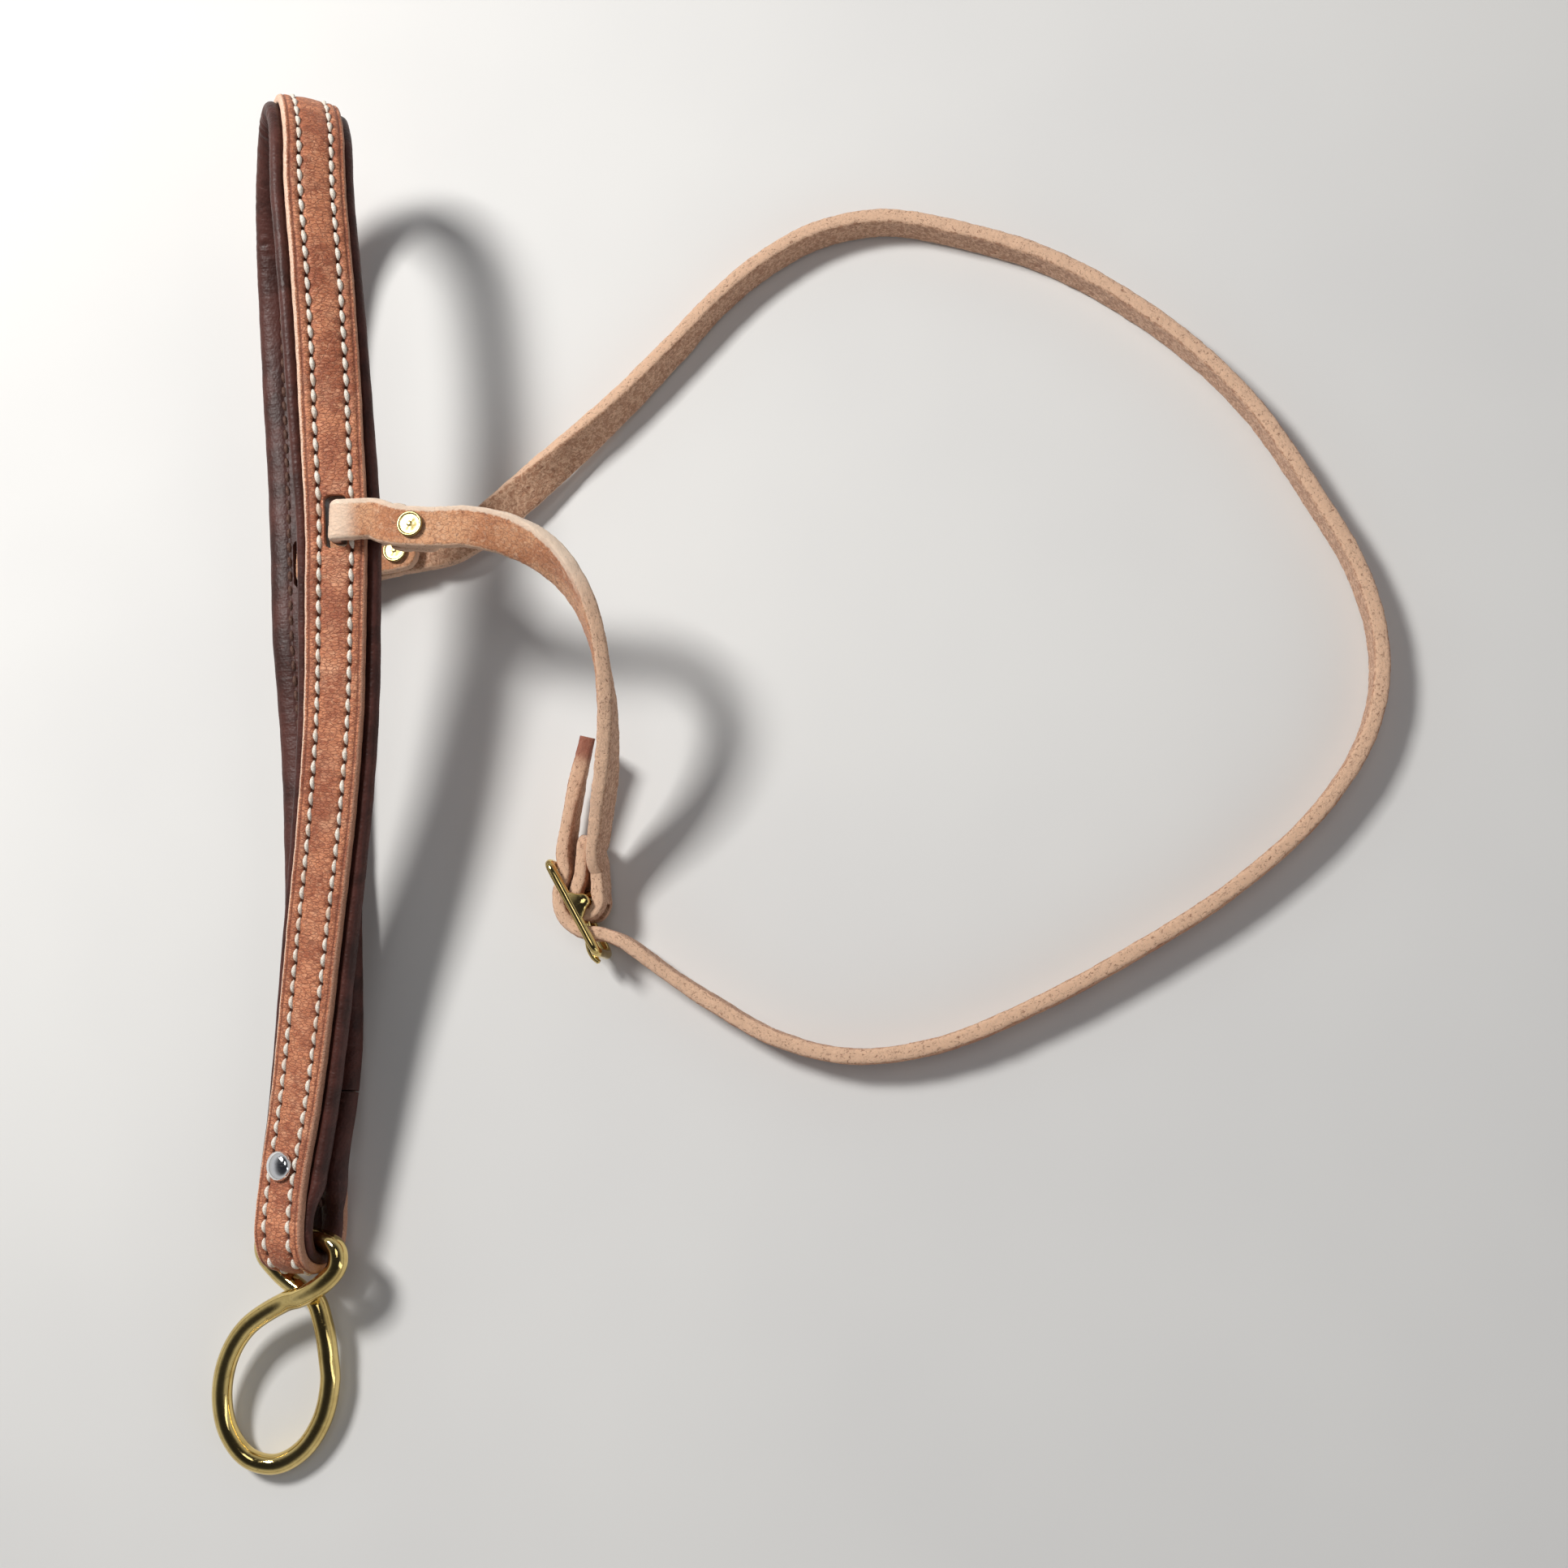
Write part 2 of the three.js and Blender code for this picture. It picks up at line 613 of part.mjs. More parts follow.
// The tongue's eye goes round the bar, and its tip lies on the frame's end.
function buckleTongue() {
  const wire = tongueWire / 2;
  const reach = buckleBar / 2 + gap + wire;
  const end = buckleLength / 2 - buckleWire / 2;
  const rest = -(buckleWire / 2 + wire + gap);
  const turn = (degrees) => {
    const angle = radians(degrees);
    return [reach * Math.cos(angle), buckleBarSetback + reach * Math.sin(angle)];
  };
  const points = [
    turn(20), turn(60), turn(100), turn(140), turn(180), turn(220), turn(262),
    [3.6, 0.6],
    [8, -0.7],
    [12.4, rest + 0.3],
    [end - 0.6, rest],
    [end + 1.8, rest + 0.7],
  ].map(([s, b]) => inBuckle(s, b));
  const path = new THREE.CatmullRomCurve3(points, false, 'centripetal');
  const section = new THREE.Shape().absarc(0, 0, wire, 0, 2 * Math.PI);
  return new THREE.ExtrudeGeometry(section, { steps: 26, curveSegments: 4, extrudePath: path });
}

// ---- assembly --------------------------------------------------------------
function piece(name, geometry, material) {
  const mesh = new THREE.Mesh(geometry, material);
  mesh.name = name;
  return mesh;
}

// A post and its screw through `grip` millimetres of leather, centred on `centre`.
function chicagoScrew(name, centre, axis, grip, head, dome, material) {
  const group = new THREE.Group();
  group.add(piece(`${name}_post`, postGeometry(head, grip, dome), material));
  group.add(piece(`${name}_screw`, screwGeometry(head, grip, dome), material));
  group.quaternion.setFromUnitVectors(up, axis);
  group.position.copy(centre).addScaledVector(axis, -grip / 2);
  return group;
}

const noseband = new THREE.Group();
noseband.add(
  piece('noseband_strap', faceStrap(), harnessLeather),
  piece('noseband_lining', liningSleeve(), liningLeather),
  piece('noseband_padding', paddingCore(), feltFill),
  piece('stitch_thread_outer', stitchThread(-1), waxedThread),
  piece('stitch_thread_inner', stitchThread(1), waxedThread),
  chicagoScrew('noseband', nickelCentre, ringOut,
    2 * (nickelRun + faceThick) + 5 * gap, nickelHead, 2.2, nickel),
);

// The ring's bar leans with the noseband's end, and the large eye lies on the floor.
const ringDrop = 8;
const ringTurn = 2;
const ringReachway = V(-Math.sin(radians(ringTurn)), -Math.cos(radians(ringTurn)), -Math.sin(radians(ringDrop)))
  .normalize();
const ringU = ringAcross.clone().addScaledVector(ringReachway, -ringAcross.dot(ringReachway)).normalize();
const ringMesh = piece('tie_down_ring', ringGeometry(), brass);
const ringTurned = new THREE.Matrix4().makeBasis(ringU, ringReachway, ringU.clone().cross(ringReachway));
ringMesh.quaternion.setFromRotationMatrix(ringTurned);
ringMesh.position.copy(barCentre);

const hanger = new THREE.Group();
hanger.add(
  piece('cheek_strap', cheekStrap(), hangerLeather),
  piece('crown_strap', crownStrap(), hangerLeather),
  chicagoScrew('cheek', cheekScrew, up, 2 * layerSpace + 3 * gap, brassHead, 0.5, brass),
  chicagoScrew('crown', crownScrew, up, 2 * layerSpace + 3 * gap, brassHead, 0.5, brass),
  piece('buckle_frame', buckleFrame(), brass),
  piece('buckle_tongue', buckleTongue(), brass),
);

// The origin is under the middle of the whole.
const middle = V(3.28, 1.635, 0);
const martingale = new THREE.Group();
martingale.add(noseband, ringMesh, hanger);
martingale.position.copy(middle).negate();

export default martingale;
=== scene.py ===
import math

import bpy
import bmesh
import numpy as np
from mathutils import Matrix, Vector
from mathutils.kdtree import KDTree


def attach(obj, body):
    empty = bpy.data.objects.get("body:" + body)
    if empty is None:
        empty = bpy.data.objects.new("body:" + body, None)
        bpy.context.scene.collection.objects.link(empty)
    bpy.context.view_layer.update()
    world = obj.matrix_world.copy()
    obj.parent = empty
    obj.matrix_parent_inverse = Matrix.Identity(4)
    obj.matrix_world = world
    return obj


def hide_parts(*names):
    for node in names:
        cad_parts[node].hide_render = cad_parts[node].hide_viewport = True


# Tie-down noseband with its hanger headstall, laid on its side on a pale floor.
# Routes are written in millimetres from the middle of the floor under the lens.

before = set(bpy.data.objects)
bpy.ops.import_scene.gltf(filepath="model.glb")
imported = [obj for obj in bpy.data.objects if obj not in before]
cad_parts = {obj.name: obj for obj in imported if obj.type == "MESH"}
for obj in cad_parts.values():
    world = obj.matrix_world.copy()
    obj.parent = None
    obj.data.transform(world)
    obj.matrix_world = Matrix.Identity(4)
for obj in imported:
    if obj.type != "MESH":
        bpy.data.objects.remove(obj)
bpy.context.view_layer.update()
scene = bpy.context.scene
mm = 0.001
restShift = np.array((-3.28, -1.635, 0.0))


def toFrame(point):  # millimetres on the floor plan -> metres in the frame
    return (np.asarray(point, float) + restShift) * mm


def addNode(tree, kind, inputs=(), **settings):
    made = tree.nodes.new(kind)
    for name, value in settings.items():
        setattr(made, name, value)
    for key, value in dict(inputs).items():
        socket = made.inputs[key]
        if isinstance(value, bpy.types.NodeSocket):
            tree.links.new(value, socket)
        else:
            socket.default_value = value
    return made


def sums(tree, operation, *values):
    return addNode(tree, "ShaderNodeMath", dict(enumerate(values)), operation=operation).outputs[0]


def times(tree, first, second):
    return sums(tree, "MULTIPLY", first, second)


def plus(tree, first, second):
    return sums(tree, "ADD", first, second)


def vector(tree, parts):
    return addNode(tree, "ShaderNodeCombineXYZ", parts).outputs[0]


def ramp(tree, value, stops):
    made = addNode(tree, "ShaderNodeValToRGB", {"Fac": value})
    elements = made.color_ramp.elements
    while len(elements) < len(stops):
        elements.new(0.5)
    for element, (place, colour) in zip(elements, stops):
        element.position = place
        element.color = (*colour, 1) if len(colour) == 3 else colour
    return made.outputs["Color"]


def between(tree, value, low, high):  # 0 below low, 1 above high, smooth
    made = addNode(tree, "ShaderNodeMapRange", {"Value": value, "From Min": low, "From Max": high},
                   interpolation_type="SMOOTHSTEP", clamp=True)
    return made.outputs["Result"]


def blendColour(tree, share, first, second):
    made = addNode(tree, "ShaderNodeMix", data_type="RGBA", clamp_result=False)
    for socket, value in ((made.inputs[0], share), (made.inputs[6], first), (made.inputs[7], second)):
        if isinstance(value, bpy.types.NodeSocket):
            tree.links.new(value, socket)
        elif isinstance(value, (tuple, list)):
            socket.default_value = (*value, 1) if len(value) == 3 else value
        else:
            socket.default_value = value
    return made.outputs[2]


def mottle(tree, where, scale, detail=3.0, roughness=0.55, distortion=0.0):
    made = addNode(tree, "ShaderNodeTexNoise",
                   {"Vector": where, "Scale": scale, "Detail": detail, "Roughness": roughness,
                    "Distortion": distortion})
    return made.outputs["Fac"]


def pebble(tree, where, scale, feature="F1"):
    made = addNode(tree, "ShaderNodeTexVoronoi", {"Vector": where, "Scale": scale}, feature=feature)
    return made.outputs["Distance"]


def stretched(tree, where, factors):
    return addNode(tree, "ShaderNodeVectorMath", {0: where, 1: factors}, operation="MULTIPLY").outputs[0]


def raised(tree, height, distance, strength=1.0, below=None):
    made = addNode(tree, "ShaderNodeBump", {"Height": height, "Distance": distance, "Strength": strength})
    if below is not None:
        tree.links.new(below, made.inputs["Normal"])
    return made.outputs["Normal"]


def newFinish(name, **constants):
    material = bpy.data.materials.new(name)
    material.use_nodes = True
    tree = material.node_tree
    shader = tree.nodes["Principled BSDF"]
    for socket, value in constants.items():
        shader.inputs[socket.replace("_", " ")].default_value = value
    return material, tree, shader


def strapPlace(tree):  # where a point is on its strap: across, along, out, in millimetres
    lay = addNode(tree, "ShaderNodeAttribute", attribute_name="lay").outputs["Vector"]
    parts = addNode(tree, "ShaderNodeSeparateXYZ", {0: lay})
    return lay, parts.outputs[0], parts.outputs[1], parts.outputs[2]


harnessLook = {"tan": (0.64, 0.245, 0.120), "deep": (0.30, 0.075, 0.032), "pale": (0.78, 0.40, 0.235),
               "grainDarkAndShade": (0.20, 0.058, 0.030), "cutEdge": (0.82, 0.55, 0.40), "rightEdgeShade": (0.34, 0.125, 0.062),
               "holeShade": (0.05, 0.016, 0.010), "crease": 7.95}


def harnessLeather():
    look = harnessLook
    material, tree, shader = newFinish("harnessLeather", IOR=1.48, Specular_IOR_Level=0.42)
    lay, across, _, out = strapPlace(tree)
    side = sums(tree, "ABSOLUTE", across)
    cloudy = mottle(tree, lay, 0.055, 4, 0.6, 0.6)
    fibre = mottle(tree, stretched(tree, lay, (0.42, 1.0, 1.0)), 0.85, 6, 0.74, 1.4)
    pores = pebble(tree, lay, 1.9)
    creases = pebble(tree, stretched(tree, lay, (0.55, 1.15, 1.0)), 0.9, "DISTANCE_TO_EDGE")
    soft = times(tree, between(tree, cloudy, 0.42, 0.62), 0.75)
    colour = blendColour(tree, soft, look["tan"], look["deep"])
    patch = times(tree, between(tree, mottle(tree, lay, 0.14, 3, 0.5, 0.3), 0.5, 0.75), 0.6)
    colour = blendColour(tree, patch, colour, look["pale"])
    colour = blendColour(tree, times(tree, between(tree, fibre, 0.49, 0.62), 0.72), colour, look["deep"])
    colour = blendColour(tree, times(tree, between(tree, fibre, 0.47, 0.36), 0.7), colour, look["pale"])
    # The darkest colour marks the pores and grain wrinkles, the leather's own grain; below it is also used as
    # painted shade.
    colour = blendColour(tree, times(tree, between(tree, pores, 0.30, 0.05), 0.3), colour, look["grainDarkAndShade"])
    colour = blendColour(tree, times(tree, between(tree, creases, 0.14, 0.0), 0.65), colour, look["grainDarkAndShade"])
    # Painted shade: darker along the stitch groove on each side.
    grooved = sums(tree, "ABSOLUTE", sums(tree, "SUBTRACT", side, 5.0))
    colour = blendColour(tree, times(tree, between(tree, grooved, 1.1, 0.35), 0.42), colour, look["grainDarkAndShade"])
    # Painted shade: darker along the crease line near each edge.
    creased = sums(tree, "ABSOLUTE", sums(tree, "SUBTRACT", side, look["crease"]))
    wander = times(tree, mottle(tree, lay, 0.5, 2), 0.3)
    crease = between(tree, sums(tree, "SUBTRACT", creased, wander), 0.34, 0.02)
    colour = blendColour(tree, times(tree, crease, 0.75), colour, look["grainDarkAndShade"])
    rim = plus(tree, side, times(tree, sums(tree, "SUBTRACT", mottle(tree, lay, 0.9, 3), 0.5), 0.7))
    edge = between(tree, rim, 8.62, 9.02)
    low = between(tree, out, 0.5, 0.2)
    cutFibre = ramp(tree, mottle(tree, stretched(tree, lay, (1, 0.5, 3.0)), 2.2, 3, 0.7),
                    [(0.32, (0.56, 0.30, 0.20)), (0.5, look["cutEdge"]), (0.72, (0.90, 0.70, 0.57))])
    # Painted shade: the cut edge on the strap's right-hand side (across above 0) is darkened.
    cutFibre = blendColour(tree, times(tree, between(tree, across, -2, 2), 0.72), cutFibre, look["rightEdgeShade"])
    colour = blendColour(tree, sums(tree, "MAXIMUM", edge, low), colour, cutFibre)
    # Painted shade: dark in the awl holes of both stitch rows.
    holes = addNode(tree, "ShaderNodeAttribute", attribute_name="pinch").outputs["Fac"]
    colour = blendColour(tree, times(tree, between(tree, holes, 0.22, 0.7), 0.92), colour, look["holeShade"])
    tree.links.new(colour, shader.inputs["Base Color"])
    gloss = plus(tree, 0.40, times(tree, fibre, 0.22))
    gloss = plus(tree, gloss, times(tree, edge, 0.18))
    tree.links.new(gloss, shader.inputs["Roughness"])
    fine = raised(tree, pores, 0.00009, 0.55)
    wrinkled = raised(tree, between(tree, creases, 0.0, 0.14), 0.00014, 0.7, fine)
    skin = raised(tree, fibre, 0.00035, 0.9, wrinkled)
    wavy = mottle(tree, stretched(tree, lay, (0.22, 1.0, 1.0)), 0.62, 2, 0.5, 0.8)
    tree.links.new(raised(tree, wavy, 0.0003, 0.5, skin), shader.inputs["Normal"])
    return material


liningLook = {"brown": (0.078, 0.024, 0.018), "dark": (0.036, 0.011, 0.008), "worn": (0.125, 0.046, 0.036)}


def liningLeather():
    look = liningLook
    material, tree, shader = newFinish("liningLeather", IOR=1.5, Specular_IOR_Level=0.28)
    lay = strapPlace(tree)[0]
    cloudy = mottle(tree, lay, 0.09, 3, 0.5, 0.4)
    grain = pebble(tree, stretched(tree, lay, (1.0, 0.8, 1.0)), 1.15)
    colour = blendColour(tree, between(tree, cloudy, 0.35, 0.68), look["brown"], look["dark"])
    colour = blendColour(tree, times(tree, between(tree, grain, 0.42, 0.12), 0.4), colour, look["dark"])
    rub = times(tree, between(tree, mottle(tree, lay, 0.33, 4, 0.65), 0.56, 0.75), 0.55)
    colour = blendColour(tree, rub, colour, look["worn"])
    tree.links.new(colour, shader.inputs["Base Color"])
    gloss = plus(tree, 0.38, times(tree, mottle(tree, lay, 0.7, 3), 0.22))
    tree.links.new(gloss, shader.inputs["Roughness"])
    fine = raised(tree, grain, 0.00016, 0.6)
    folds = mottle(tree, stretched(tree, lay, (0.18, 1.0, 0.4)), 0.55, 3, 0.55, 0.5)
    tree.links.new(raised(tree, folds, 0.0004, 0.55, fine), shader.inputs["Normal"])
    return material


hangerLook = {"grain": (0.74, 0.385, 0.205), "grainDeep": (0.52, 0.205, 0.090), "flesh": (0.74, 0.47, 0.31),
              "fleshDeep": (0.45, 0.230, 0.135), "cutEdge": (0.78, 0.52, 0.36), "tipStain": (0.26, 0.055, 0.032),
              "cream": (0.88, 0.72, 0.57), "wrinkle": (0.25, 0.085, 0.040), "speck": (0.22, 0.085, 0.045),
              "slotBend": 58}


def hangerLeather(name, stainFrom, creamUntil):
    look = hangerLook
    material, tree, shader = newFinish(name, IOR=1.46, Specular_IOR_Level=0.3, Sheen_Weight=0.18,
                                       Sheen_Roughness=0.5)
    lay, across, along, out = strapPlace(tree)
    nap = mottle(tree, stretched(tree, lay, (1.0, 0.6, 1.0)), 1.3, 6, 0.78, 0.9)
    clumps = mottle(tree, lay, 0.75, 4, 0.68, 0.9)
    cloudy = mottle(tree, lay, 0.06, 3, 0.5, 0.5)
    pores = pebble(tree, lay, 1.7)
    grainSide = blendColour(tree, between(tree, cloudy, 0.38, 0.64), look["grain"], look["grainDeep"])
    grainSide = blendColour(tree, times(tree, between(tree, clumps, 0.50, 0.66), 0.6),
                            grainSide, look["flesh"])
    grainSide = blendColour(tree, times(tree, between(tree, clumps, 0.47, 0.36), 0.6),
                            grainSide, look["grainDeep"])
    creases = pebble(tree, stretched(tree, lay, (0.9, 0.8, 1.0)), 0.8, "DISTANCE_TO_EDGE")
    grainSide = blendColour(tree, times(tree, between(tree, creases, 0.10, 0.0), 0.5),
                            grainSide, look["wrinkle"])
    fleshSide = blendColour(tree, between(tree, clumps, 0.40, 0.62), look["fleshDeep"], look["flesh"])
    onGrain = between(tree, out, 1.45, 1.95)
    face = blendColour(tree, onGrain, fleshSide, grainSide)
    side = sums(tree, "ABSOLUTE", across)
    ragged = plus(tree, side, times(tree, sums(tree, "SUBTRACT", clumps, 0.5), 0.9))
    edge = between(tree, ragged, 5.55, 6.0)
    cutFibre = blendColour(tree, between(tree, nap, 0.38, 0.66), look["cutEdge"], look["flesh"])
    colour = blendColour(tree, edge, face, cutFibre)
    speck = times(tree, between(tree, nap, 0.48, 0.36), 0.85)
    colour = blendColour(tree, speck, colour, look["speck"])
    if creamUntil is not None:  # pale where it bends out of the slot, and a skived band along one edge
        bent = between(tree, sums(tree, "ABSOLUTE", sums(tree, "SUBTRACT", along, look["slotBend"])), 9, 3)
        bent = times(tree, bent, sums(tree, "SUBTRACT", 0.85, times(tree, clumps, 0.4)))
        colour = blendColour(tree, bent, colour, look["cream"])
        band = between(tree, plus(tree, across, times(tree, clumps, 1.6)), 5.0, 5.7)
        band = times(tree, band, between(tree, along, creamUntil, creamUntil - 22))
        colour = blendColour(tree, times(tree, band, 0.75), colour, look["cream"])
    if stainFrom is not None:
        tip = between(tree, plus(tree, along, times(tree, clumps, 3.0)), stainFrom, stainFrom + 6)
        colour = blendColour(tree, times(tree, tip, 0.8), colour, look["tipStain"])
    tree.links.new(colour, shader.inputs["Base Color"])
    gloss = sums(tree, "SUBTRACT", 0.86, times(tree, onGrain, 0.3))
    tree.links.new(gloss, shader.inputs["Roughness"])
    fine = raised(tree, nap, 0.00042, 1.0)
    tree.links.new(raised(tree, clumps, 0.00035, 0.6, fine), shader.inputs["Normal"])
    return material


def waxedThread():
    material, tree, shader = newFinish("waxedThread", IOR=1.5, Specular_IOR_Level=0.35, Sheen_Weight=0.1)
    where = addNode(tree, "ShaderNodeTexCoord").outputs["Object"]
    fibres = mottle(tree, where, 2600, 3, 0.6, 0.5)
    soil = mottle(tree, where, 120, 3, 0.6)
    colour = blendColour(tree, between(tree, fibres, 0.34, 0.6), (0.52, 0.43, 0.33), (0.86, 0.82, 0.74))
    colour = blendColour(tree, times(tree, between(tree, soil, 0.52, 0.72), 0.5), colour, (0.55, 0.33, 0.2))
    tree.links.new(colour, shader.inputs["Base Color"])
    tree.links.new(plus(tree, 0.5, times(tree, fibres, 0.3)), shader.inputs["Roughness"])
    tree.links.new(raised(tree, fibres, 0.0001, 0.7), shader.inputs["Normal"])
    return material


def darkThread():
    material, tree, shader = newFinish("darkThread", IOR=1.5, Specular_IOR_Level=0.3)
    where = addNode(tree, "ShaderNodeTexCoord").outputs["Object"]
    fibres = mottle(tree, where, 2600, 3, 0.6, 0.5)
    shade = blendColour(tree, between(tree, fibres, 0.34, 0.6), (0.05, 0.022, 0.016), (0.13, 0.065, 0.045))
    tree.links.new(shade, shader.inputs["Base Color"])
    tree.links.new(plus(tree, 0.5, times(tree, fibres, 0.3)), shader.inputs["Roughness"])
    return material


# A dark material of painted shade, for the disc set in each awl hole.
def awlShadow():
    material, tree, shader = newFinish("awlHoleShade", IOR=1.45, Specular_IOR_Level=0.1)
    where = addNode(tree, "ShaderNodeTexCoord").outputs["Object"]
    rag = mottle(tree, where, 1800, 3, 0.6)
    colour = blendColour(tree, between(tree, rag, 0.35, 0.7), (0.030, 0.012, 0.008), (0.085, 0.030, 0.016))
    tree.links.new(colour, shader.inputs["Base Color"])
    tree.links.new(plus(tree, 0.7, times(tree, rag, 0.25)), shader.inputs["Roughness"])
    return material


def castMetal(name, bright, dull, dirt, gloss):
    material, tree, shader = newFinish(name, Metallic=1.0)
    where = addNode(tree, "ShaderNodeTexCoord").outputs["Object"]
    cloud = mottle(tree, where, 90, 4, 0.6, 0.6)
    speckle = mottle(tree, where, 900, 3, 0.6)
    scratch = mottle(tree, stretched(tree, where, (0.25, 1.0, 0.6)), 2600, 2, 0.5, 0.3)
    colour = blendColour(tree, between(tree, cloud, 0.35, 0.72), bright, dull)
    colour = blendColour(tree, times(tree, between(tree, speckle, 0.62, 0.76), 0.55), colour, dirt)
    tree.links.new(colour, shader.inputs["Base Color"])
    rough = plus(tree, gloss, times(tree, between(tree, cloud, 0.4, 0.8), 0.12))
    rough = plus(tree, rough, times(tree, between(tree, scratch, 0.55, 0.7), 0.10))
    tree.links.new(rough, shader.inputs["Roughness"])
    ripple = raised(tree, mottle(tree, where, 160, 2, 0.5), 0.00022, 0.35)
    tree.links.new(raised(tree, scratch, 0.00002, 0.35, ripple), shader.inputs["Normal"])
    return material


harness = harnessLeather()
lining = liningLeather()
thread = waxedThread()
threadBehind = darkThread()
awlHoleShade = awlShadow()
brass = castMetal("castBrass", (0.78, 0.60, 0.24), (0.58, 0.42, 0.15), (0.18, 0.11, 0.05), 0.07)
# A darker, duller copy of the brass, used for the screw heads.
headBrass = castMetal("darkerHeadBrass", (0.42, 0.34, 0.15), (0.32, 0.25, 0.10), (0.13, 0.09, 0.04), 0.24)
nickel = castMetal("nickelPlate", (0.90, 0.91, 0.92), (0.78, 0.79, 0.81), (0.25, 0.25, 0.26), 0.06)
print("finishes made")


stepsEach = 40  # points of a smooth line between two written ones


def smoothLine(points, closed=False, chord=0.5, steps=stepsEach):
    p = np.asarray(points, float)
    count = len(p)
    stretches = []
    for i in range(count if closed else count - 1):
        b, c = p[i], p[(i + 1) % count]
        a = p[i - 1] if closed or i else 2 * b - c
        d = p[(i + 2) % count] if closed or i + 2 < count else 2 * c - b
        if chord:
            da, db, dc = (max(np.linalg.norm(v), 1e-4) ** chord for v in (b - a, c - b, d - c))
            leave = ((b - a) / da - (c - a) / (da + db) + (c - b) / db) * db
            arrive = ((c - b) / db - (d - b) / (db + dc) + (d - c) / dc) * db
        else:
            leave, arrive = (c - a) / 2, (d - b) / 2
        k = np.linspace(0, 1, steps, endpoint=False)[:, None]
        stretches.append(b + leave * k + (3 * (c - b) - 2 * leave - arrive) * k**2
                         + (2 * (b - c) + leave + arrive) * k**3)
    if not closed:
        stretches.append(p[-1:])
    return np.vstack(stretches)


def unit(v):
    return v / np.maximum(np.linalg.norm(v, axis=-1, keepdims=True), 1e-12)


class Lay:  # a strap's line, with the direction of its width and of its face at each step
    def __init__(self, points, widths, closed=False, spacing=0.8, lowest=None, trim=0.0):
        at, across = smoothLine(points, closed), smoothLine(widths, closed, 0)
        if closed:
            at, across = np.vstack([at, at[:1]]), np.vstack([across, across[:1]])
        if lowest is not None:
            at[:, 2] = np.maximum(at[:, 2], lowest)
        reach = np.concatenate([[0], np.cumsum(np.linalg.norm(np.diff(at, axis=0), axis=1))])
        self.length = reach[-1] - 2 * trim
        s = np.linspace(trim, reach[-1] - trim, int(self.length / spacing) + 1)
        self.s = s - trim
        self.at = np.stack([np.interp(s, reach, at[:, k]) for k in range(3)], 1)
        wide = np.stack([np.interp(s, reach, across[:, k]) for k in range(3)], 1)
        self.along = unit(np.gradient(self.at, axis=0))
        self.across = unit(wide - self.along * np.sum(wide * self.along, 1, keepdims=True))
        self.out = np.cross(self.along, self.across)
        turn = np.gradient(self.along, axis=0) / np.gradient(self.s)[:, None]
        self.bendIn = -np.sum(turn * self.out, 1)  # above 0 where the inner face is squeezed

    def spot(self, s, x=0.0, y=0.0):  # a point of the strap, in millimetres
        def pick(a):
            return np.array([np.interp(s, self.s, a[:, k]) for k in range(3)])
        across, out, along = pick(self.across), pick(self.out), pick(self.along)
        return pick(self.at) + across * x + out * y, along, out


def waves(s, lengths, seed):  # a smooth uneven line between about -1 and 1
    rng = np.random.default_rng(seed)
    total = np.zeros_like(s)
    for length in lengths:
        total = total + np.sin(2 * np.pi * s / (length * rng.uniform(0.85, 1.15)) + rng.uniform(0, 6.28))
    return total / len(lengths)


def meshObject(name, verts, faces, materials, attributes=(), smooth=True):
    mesh = bpy.data.meshes.new(name)
    mesh.from_pydata([tuple(v) for v in verts], [], faces)
    for key, kind, values in attributes:
        made = mesh.attributes.new(key, kind, "POINT")
        made.data.foreach_set("vector" if kind == "FLOAT_VECTOR" else "value",
                              np.asarray(values, bool if kind == "BOOLEAN" else np.float32).ravel())
    for material in materials:
        mesh.materials.append(material)
    mesh.update()
    mesh.polygons.foreach_set("use_smooth", [smooth] * len(mesh.polygons))
    made = bpy.data.objects.new(name, mesh)
    scene.collection.objects.link(made)
    return made


def roundedLoop(half, fine=0.45):  # half a section from bottom middle to top middle, made whole and even
    points = smoothLine(half, False, 0.5, 24)
    reach = np.concatenate([[0], np.cumsum(np.linalg.norm(np.diff(points, axis=0), axis=1))])
    s = np.linspace(0, reach[-1], int(reach[-1] / fine) + 1)
    right = np.stack([np.interp(s, reach, points[:, k]) for k in range(2)], 1)
    return np.vstack([right, right[-2:0:-1] * (-1, 1)])


def bentStrap(name, line, section, material, shape=None, extra=None):
    n, m = len(line.s), len(section)
    x = np.repeat(section[None, :, 0], n, 0)
    y = np.repeat(section[None, :, 1], n, 0)
    s = np.repeat(line.s[:, None], m, 1)
    layX, layY = x.copy(), y.copy()
    if shape:
        x, y, s = shape(x, y, s)
    base = np.stack([line.at[:, k] for k in range(3)], 1)[:, None, :]
    shift = s - line.s[:, None]
    verts = (base + line.across[:, None] * x[..., None] + line.out[:, None] * y[..., None]
             + line.along[:, None] * shift[..., None])
    verts = ((verts + restShift) * mm).reshape(-1, 3)
    faces = []
    for i in range(n - 1):
        a, b = i * m, (i + 1) * m
        faces += [(a + j, a + (j + 1) % m, b + (j + 1) % m, b + j) for j in range(m)]
    ends = []
    for row, flip in ((0, True), (n - 1, False)):  # capped with a middle point, so that the ends stay even
        ends.append(verts[row * m:(row + 1) * m].mean(0))
        hub = n * m + len(ends) - 1
        for j in range(m):
            a, b = row * m + j, row * m + (j + 1) % m
            faces.append((b, a, hub) if flip else (a, b, hub))
    lay = np.stack([layX, s, layY], 2).reshape(-1, 3)
    lay = np.vstack([lay, lay[:m].mean(0), lay[-m:].mean(0)])
    attributes = [("lay", "FLOAT_VECTOR", lay)]
    if extra is not None:
        attributes.append((extra[0], "FLOAT", np.concatenate([extra[1](layX, s, layY).ravel(), [0, 0]])))
    return meshObject(name, np.vstack([verts, ends]), faces, [material], attributes)


